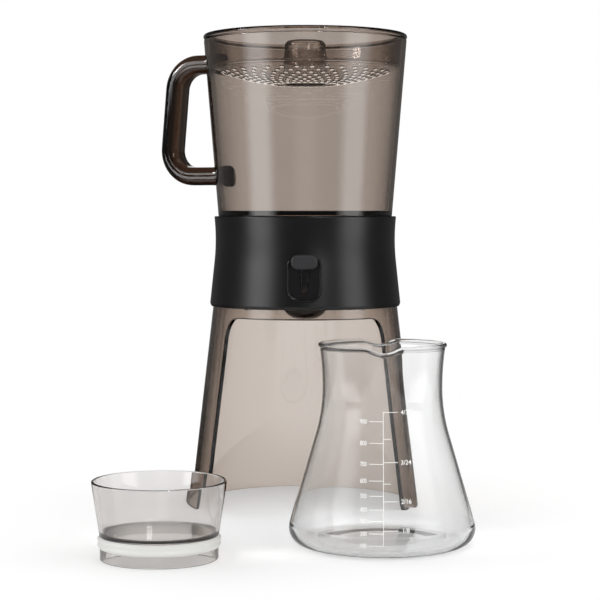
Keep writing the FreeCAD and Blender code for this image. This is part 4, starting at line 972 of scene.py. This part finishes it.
def white_cloths(tree, place):
    """The mirrored light of the two lit cloths, and the azimuth that it depends on."""
    forward = add_node(tree, "ShaderNodeMath", {
        0: place.outputs["Y"], 1: -1.0}, operation="MULTIPLY")
    turn = add_node(tree, "ShaderNodeMath", {
        0: place.outputs["X"], 1: forward}, operation="ARCTAN2")
    level = 0.0
    for side, power in cloths:
        past = add_node(tree, "ShaderNodeMath", {
            0: turn, 1: math.radians(side)}, operation="SUBTRACT")
        off = add_node(tree, "ShaderNodeMath", {0: past}, operation="ABSOLUTE")
        cloth = add_node(tree, "ShaderNodeMapRange",
                         soft_edge(off, cloth_full, cloth_end, power, 0.0), **soft)
        level = add_node(tree, "ShaderNodeMath", {0: level, 1: cloth}, operation="MAXIMUM")
    return level, turn


def white_paper():
    """Matt paper, with a level of its own for each kind of ray.

    A level is added to what the paper scatters, and one below zero takes away from it.
    """
    paper, tree = new_material("white_paper")
    rays = add_node(tree, "ShaderNodeLightPath").outputs
    point = add_node(tree, "ShaderNodeTexCoord").outputs["Object"]
    place = add_node(tree, "ShaderNodeSeparateXYZ", {0: point})
    length = add_node(tree, "ShaderNodeVectorMath", {0: point}, operation="LENGTH")
    distance, depth = length.outputs["Value"], place.outputs["Y"]
    along_ways, by_distance, not_near, near, in_front, seen = [
        add_node(tree, "ShaderNodeMapRange", soft_edge(*edge), **soft) for edge in (
            (distance, 2.5, 5.0, 0.34, 0.02), (distance, 0.6, 3.0, -0.64, -0.58),
            (distance, 0.7, 1.1, 0.0, 1.0), (distance, 0.45, 0.9), (depth, -0.1, 0.05),
            (distance, 0.2, 0.9, 0.36, 0.3))]
    refracted = add_node(tree, "ShaderNodeMix", {
        0: quarter_zone(tree, place, allowance=0.17, middle=0.06), 2: -0.55, 3: along_ways})
    mirrored = add_node(tree, "ShaderNodeMath", {
        0: white_cloths(tree, place)[0], 1: not_near, 2: by_distance}, operation="MULTIPLY_ADD")
    under_group = add_node(tree, "ShaderNodeMath", {0: near, 1: in_front}, operation="MULTIPLY")
    mirrored = add_node(tree, "ShaderNodeMix", {0: under_group, 2: mirrored, 3: 0.1})
    bent = add_node(tree, "ShaderNodeMix", {
        0: rays["Is Transmission Ray"], 2: mirrored, 3: refracted})
    level = add_node(tree, "ShaderNodeMix", {0: rays["Is Glossy Ray"], 2: 0.3, 3: bent})
    level = add_node(tree, "ShaderNodeMix", {0: rays["Is Camera Ray"], 2: level, 3: seen})
    matt = add_node(tree, "ShaderNodeBsdfDiffuse", {"Color": linear("dadada")})
    glow = add_node(tree, "ShaderNodeEmission", {"Color": linear("ffffff"), "Strength": level})
    both = add_node(tree, "ShaderNodeAddShader", {0: matt, 1: glow})
    add_node(tree, "ShaderNodeOutputMaterial", {"Surface": both})
    return paper


def white_room():
    """The room, white to the eye, with a level of its own for each other kind of ray.

    What polished skins mirror is dim, apart from the cloths, which stand a little clear of the
    floor, and a narrow white strip at the very back.
    """
    world = bpy.data.worlds.new("studio")
    world.use_nodes = True
    world.cycles.sampling_method = "NONE"
    tree = world.node_tree
    tree.nodes.clear()
    rays = add_node(tree, "ShaderNodeLightPath").outputs
    point = add_node(tree, "ShaderNodeTexCoord").outputs["Generated"]
    way = add_node(tree, "ShaderNodeSeparateXYZ", {0: point})
    height = way.outputs["Z"]
    cloth_level, turn = white_cloths(tree, way)
    off_front = add_node(tree, "ShaderNodeMath", {0: turn}, operation="ABSOLUTE")
    low, above, cloth_high, under_gap, over_gap, back, dim = [
        add_node(tree, "ShaderNodeMapRange", soft_edge(*edge), **soft) for edge in (
            (height, 0.3, 0.5), (height, 0.5, 0.8, 0.0, 1.3), (height, 0.3, 0.48),
            (height, -0.01, 0.01), (height, 0.05, 0.09, 0.0, 1.0),
            (off_front, math.radians(173), math.radians(177), 0.0, 1.0),
            (height, 0.0, 0.18, 0.12, 0.06))]
    main_ways = add_node(tree, "ShaderNodeMath", {
        0: quarter_zone(tree, way, allowance=0.0), 1: low}, operation="MULTIPLY")
    refracted = add_node(tree, "ShaderNodeMix", {0: main_ways, 2: 0.2, 3: 0.82})
    refracted = add_node(tree, "ShaderNodeMath", {0: refracted, 1: above}, operation="ADD")
    clear_of_gap = add_node(tree, "ShaderNodeMath", {
        0: under_gap, 1: over_gap}, operation="MAXIMUM")
    mirrored = cloth_level
    for other, operation in ((cloth_high, "MULTIPLY"), (clear_of_gap, "MULTIPLY"),
                             (back, "MAXIMUM"), (dim, "MAXIMUM")):
        mirrored = add_node(tree, "ShaderNodeMath", {0: mirrored, 1: other}, operation=operation)
    bent = add_node(tree, "ShaderNodeMix", {
        0: rays["Is Transmission Ray"], 2: mirrored, 3: refracted})
    level = add_node(tree, "ShaderNodeMix", {0: rays["Is Glossy Ray"], 2: 1.0, 3: bent})
    once = add_node(tree, "ShaderNodeMix", {0: rays["Is Diffuse Ray"], 2: 0.3, 3: 1.0})
    scattered = add_node(tree, "ShaderNodeMath", {
        0: rays["Diffuse Depth"], 1: 0.5}, operation="GREATER_THAN")
    level = add_node(tree, "ShaderNodeMix", {0: scattered, 2: level, 3: once})
    level = add_node(tree, "ShaderNodeMix", {0: rays["Is Camera Ray"], 2: level, 3: 1.0})
    sky = add_node(tree, "ShaderNodeBackground", {"Color": linear("ffffff"), "Strength": level})
    add_node(tree, "ShaderNodeOutputWorld", {"Surface": sky})
    return world


floor.data.materials.append(white_paper())
bpy.context.scene.world = white_room()


def window_lamp(name, place, target, width, height, power):
    """A small bright lamp behind white cloth, which polished surfaces mirror."""
    lamp = bpy.data.lights.new(name, "AREA")
    lamp.shape = "RECTANGLE"
    lamp.size, lamp.size_y = width, height
    lamp.energy = power
    box = bpy.data.objects.new(name, lamp)
    bpy.context.collection.objects.link(box)
    box.location = place
    box.rotation_euler = (Vector(target) - Vector(place)).to_track_quat("-Z", "Y").to_euler()
    box.visible_camera = False
    box.visible_transmission = False
    box.visible_diffuse = False


lamp_distance, lamp_level, lamp_target, lamp_height = 1.4, 0.8, (0, 0, 0.25), 0.25
for name, azimuth, width, power in (
        ("left_window", -72, 0.3, 5.5), ("right_window", 19, 0.24, 4.8)):
    turn = math.radians(azimuth)
    stand_at = (lamp_distance * math.sin(turn), -lamp_distance * math.cos(turn), lamp_level)
    window_lamp(name, stand_at, lamp_target, width, lamp_height, power)

scene = bpy.context.scene
scene.view_settings.view_transform = "Standard"
scene.cycles.max_bounces = 24
scene.cycles.transmission_bounces = 24
scene.cycles.transparent_max_bounces = 24

camera_place, camera_down, camera_left = (0.0133, -1.4637, 0.242), 2.85, 0.69
lens = bpy.data.cameras.new("camera")
lens.sensor_width = 36.0
lens.lens = 106.2
camera = bpy.data.objects.new("camera", lens)
scene.collection.objects.link(camera)
camera.location = camera_place
camera.rotation_euler = (math.radians(90 - camera_down), 0, math.radians(camera_left))
scene.camera = camera
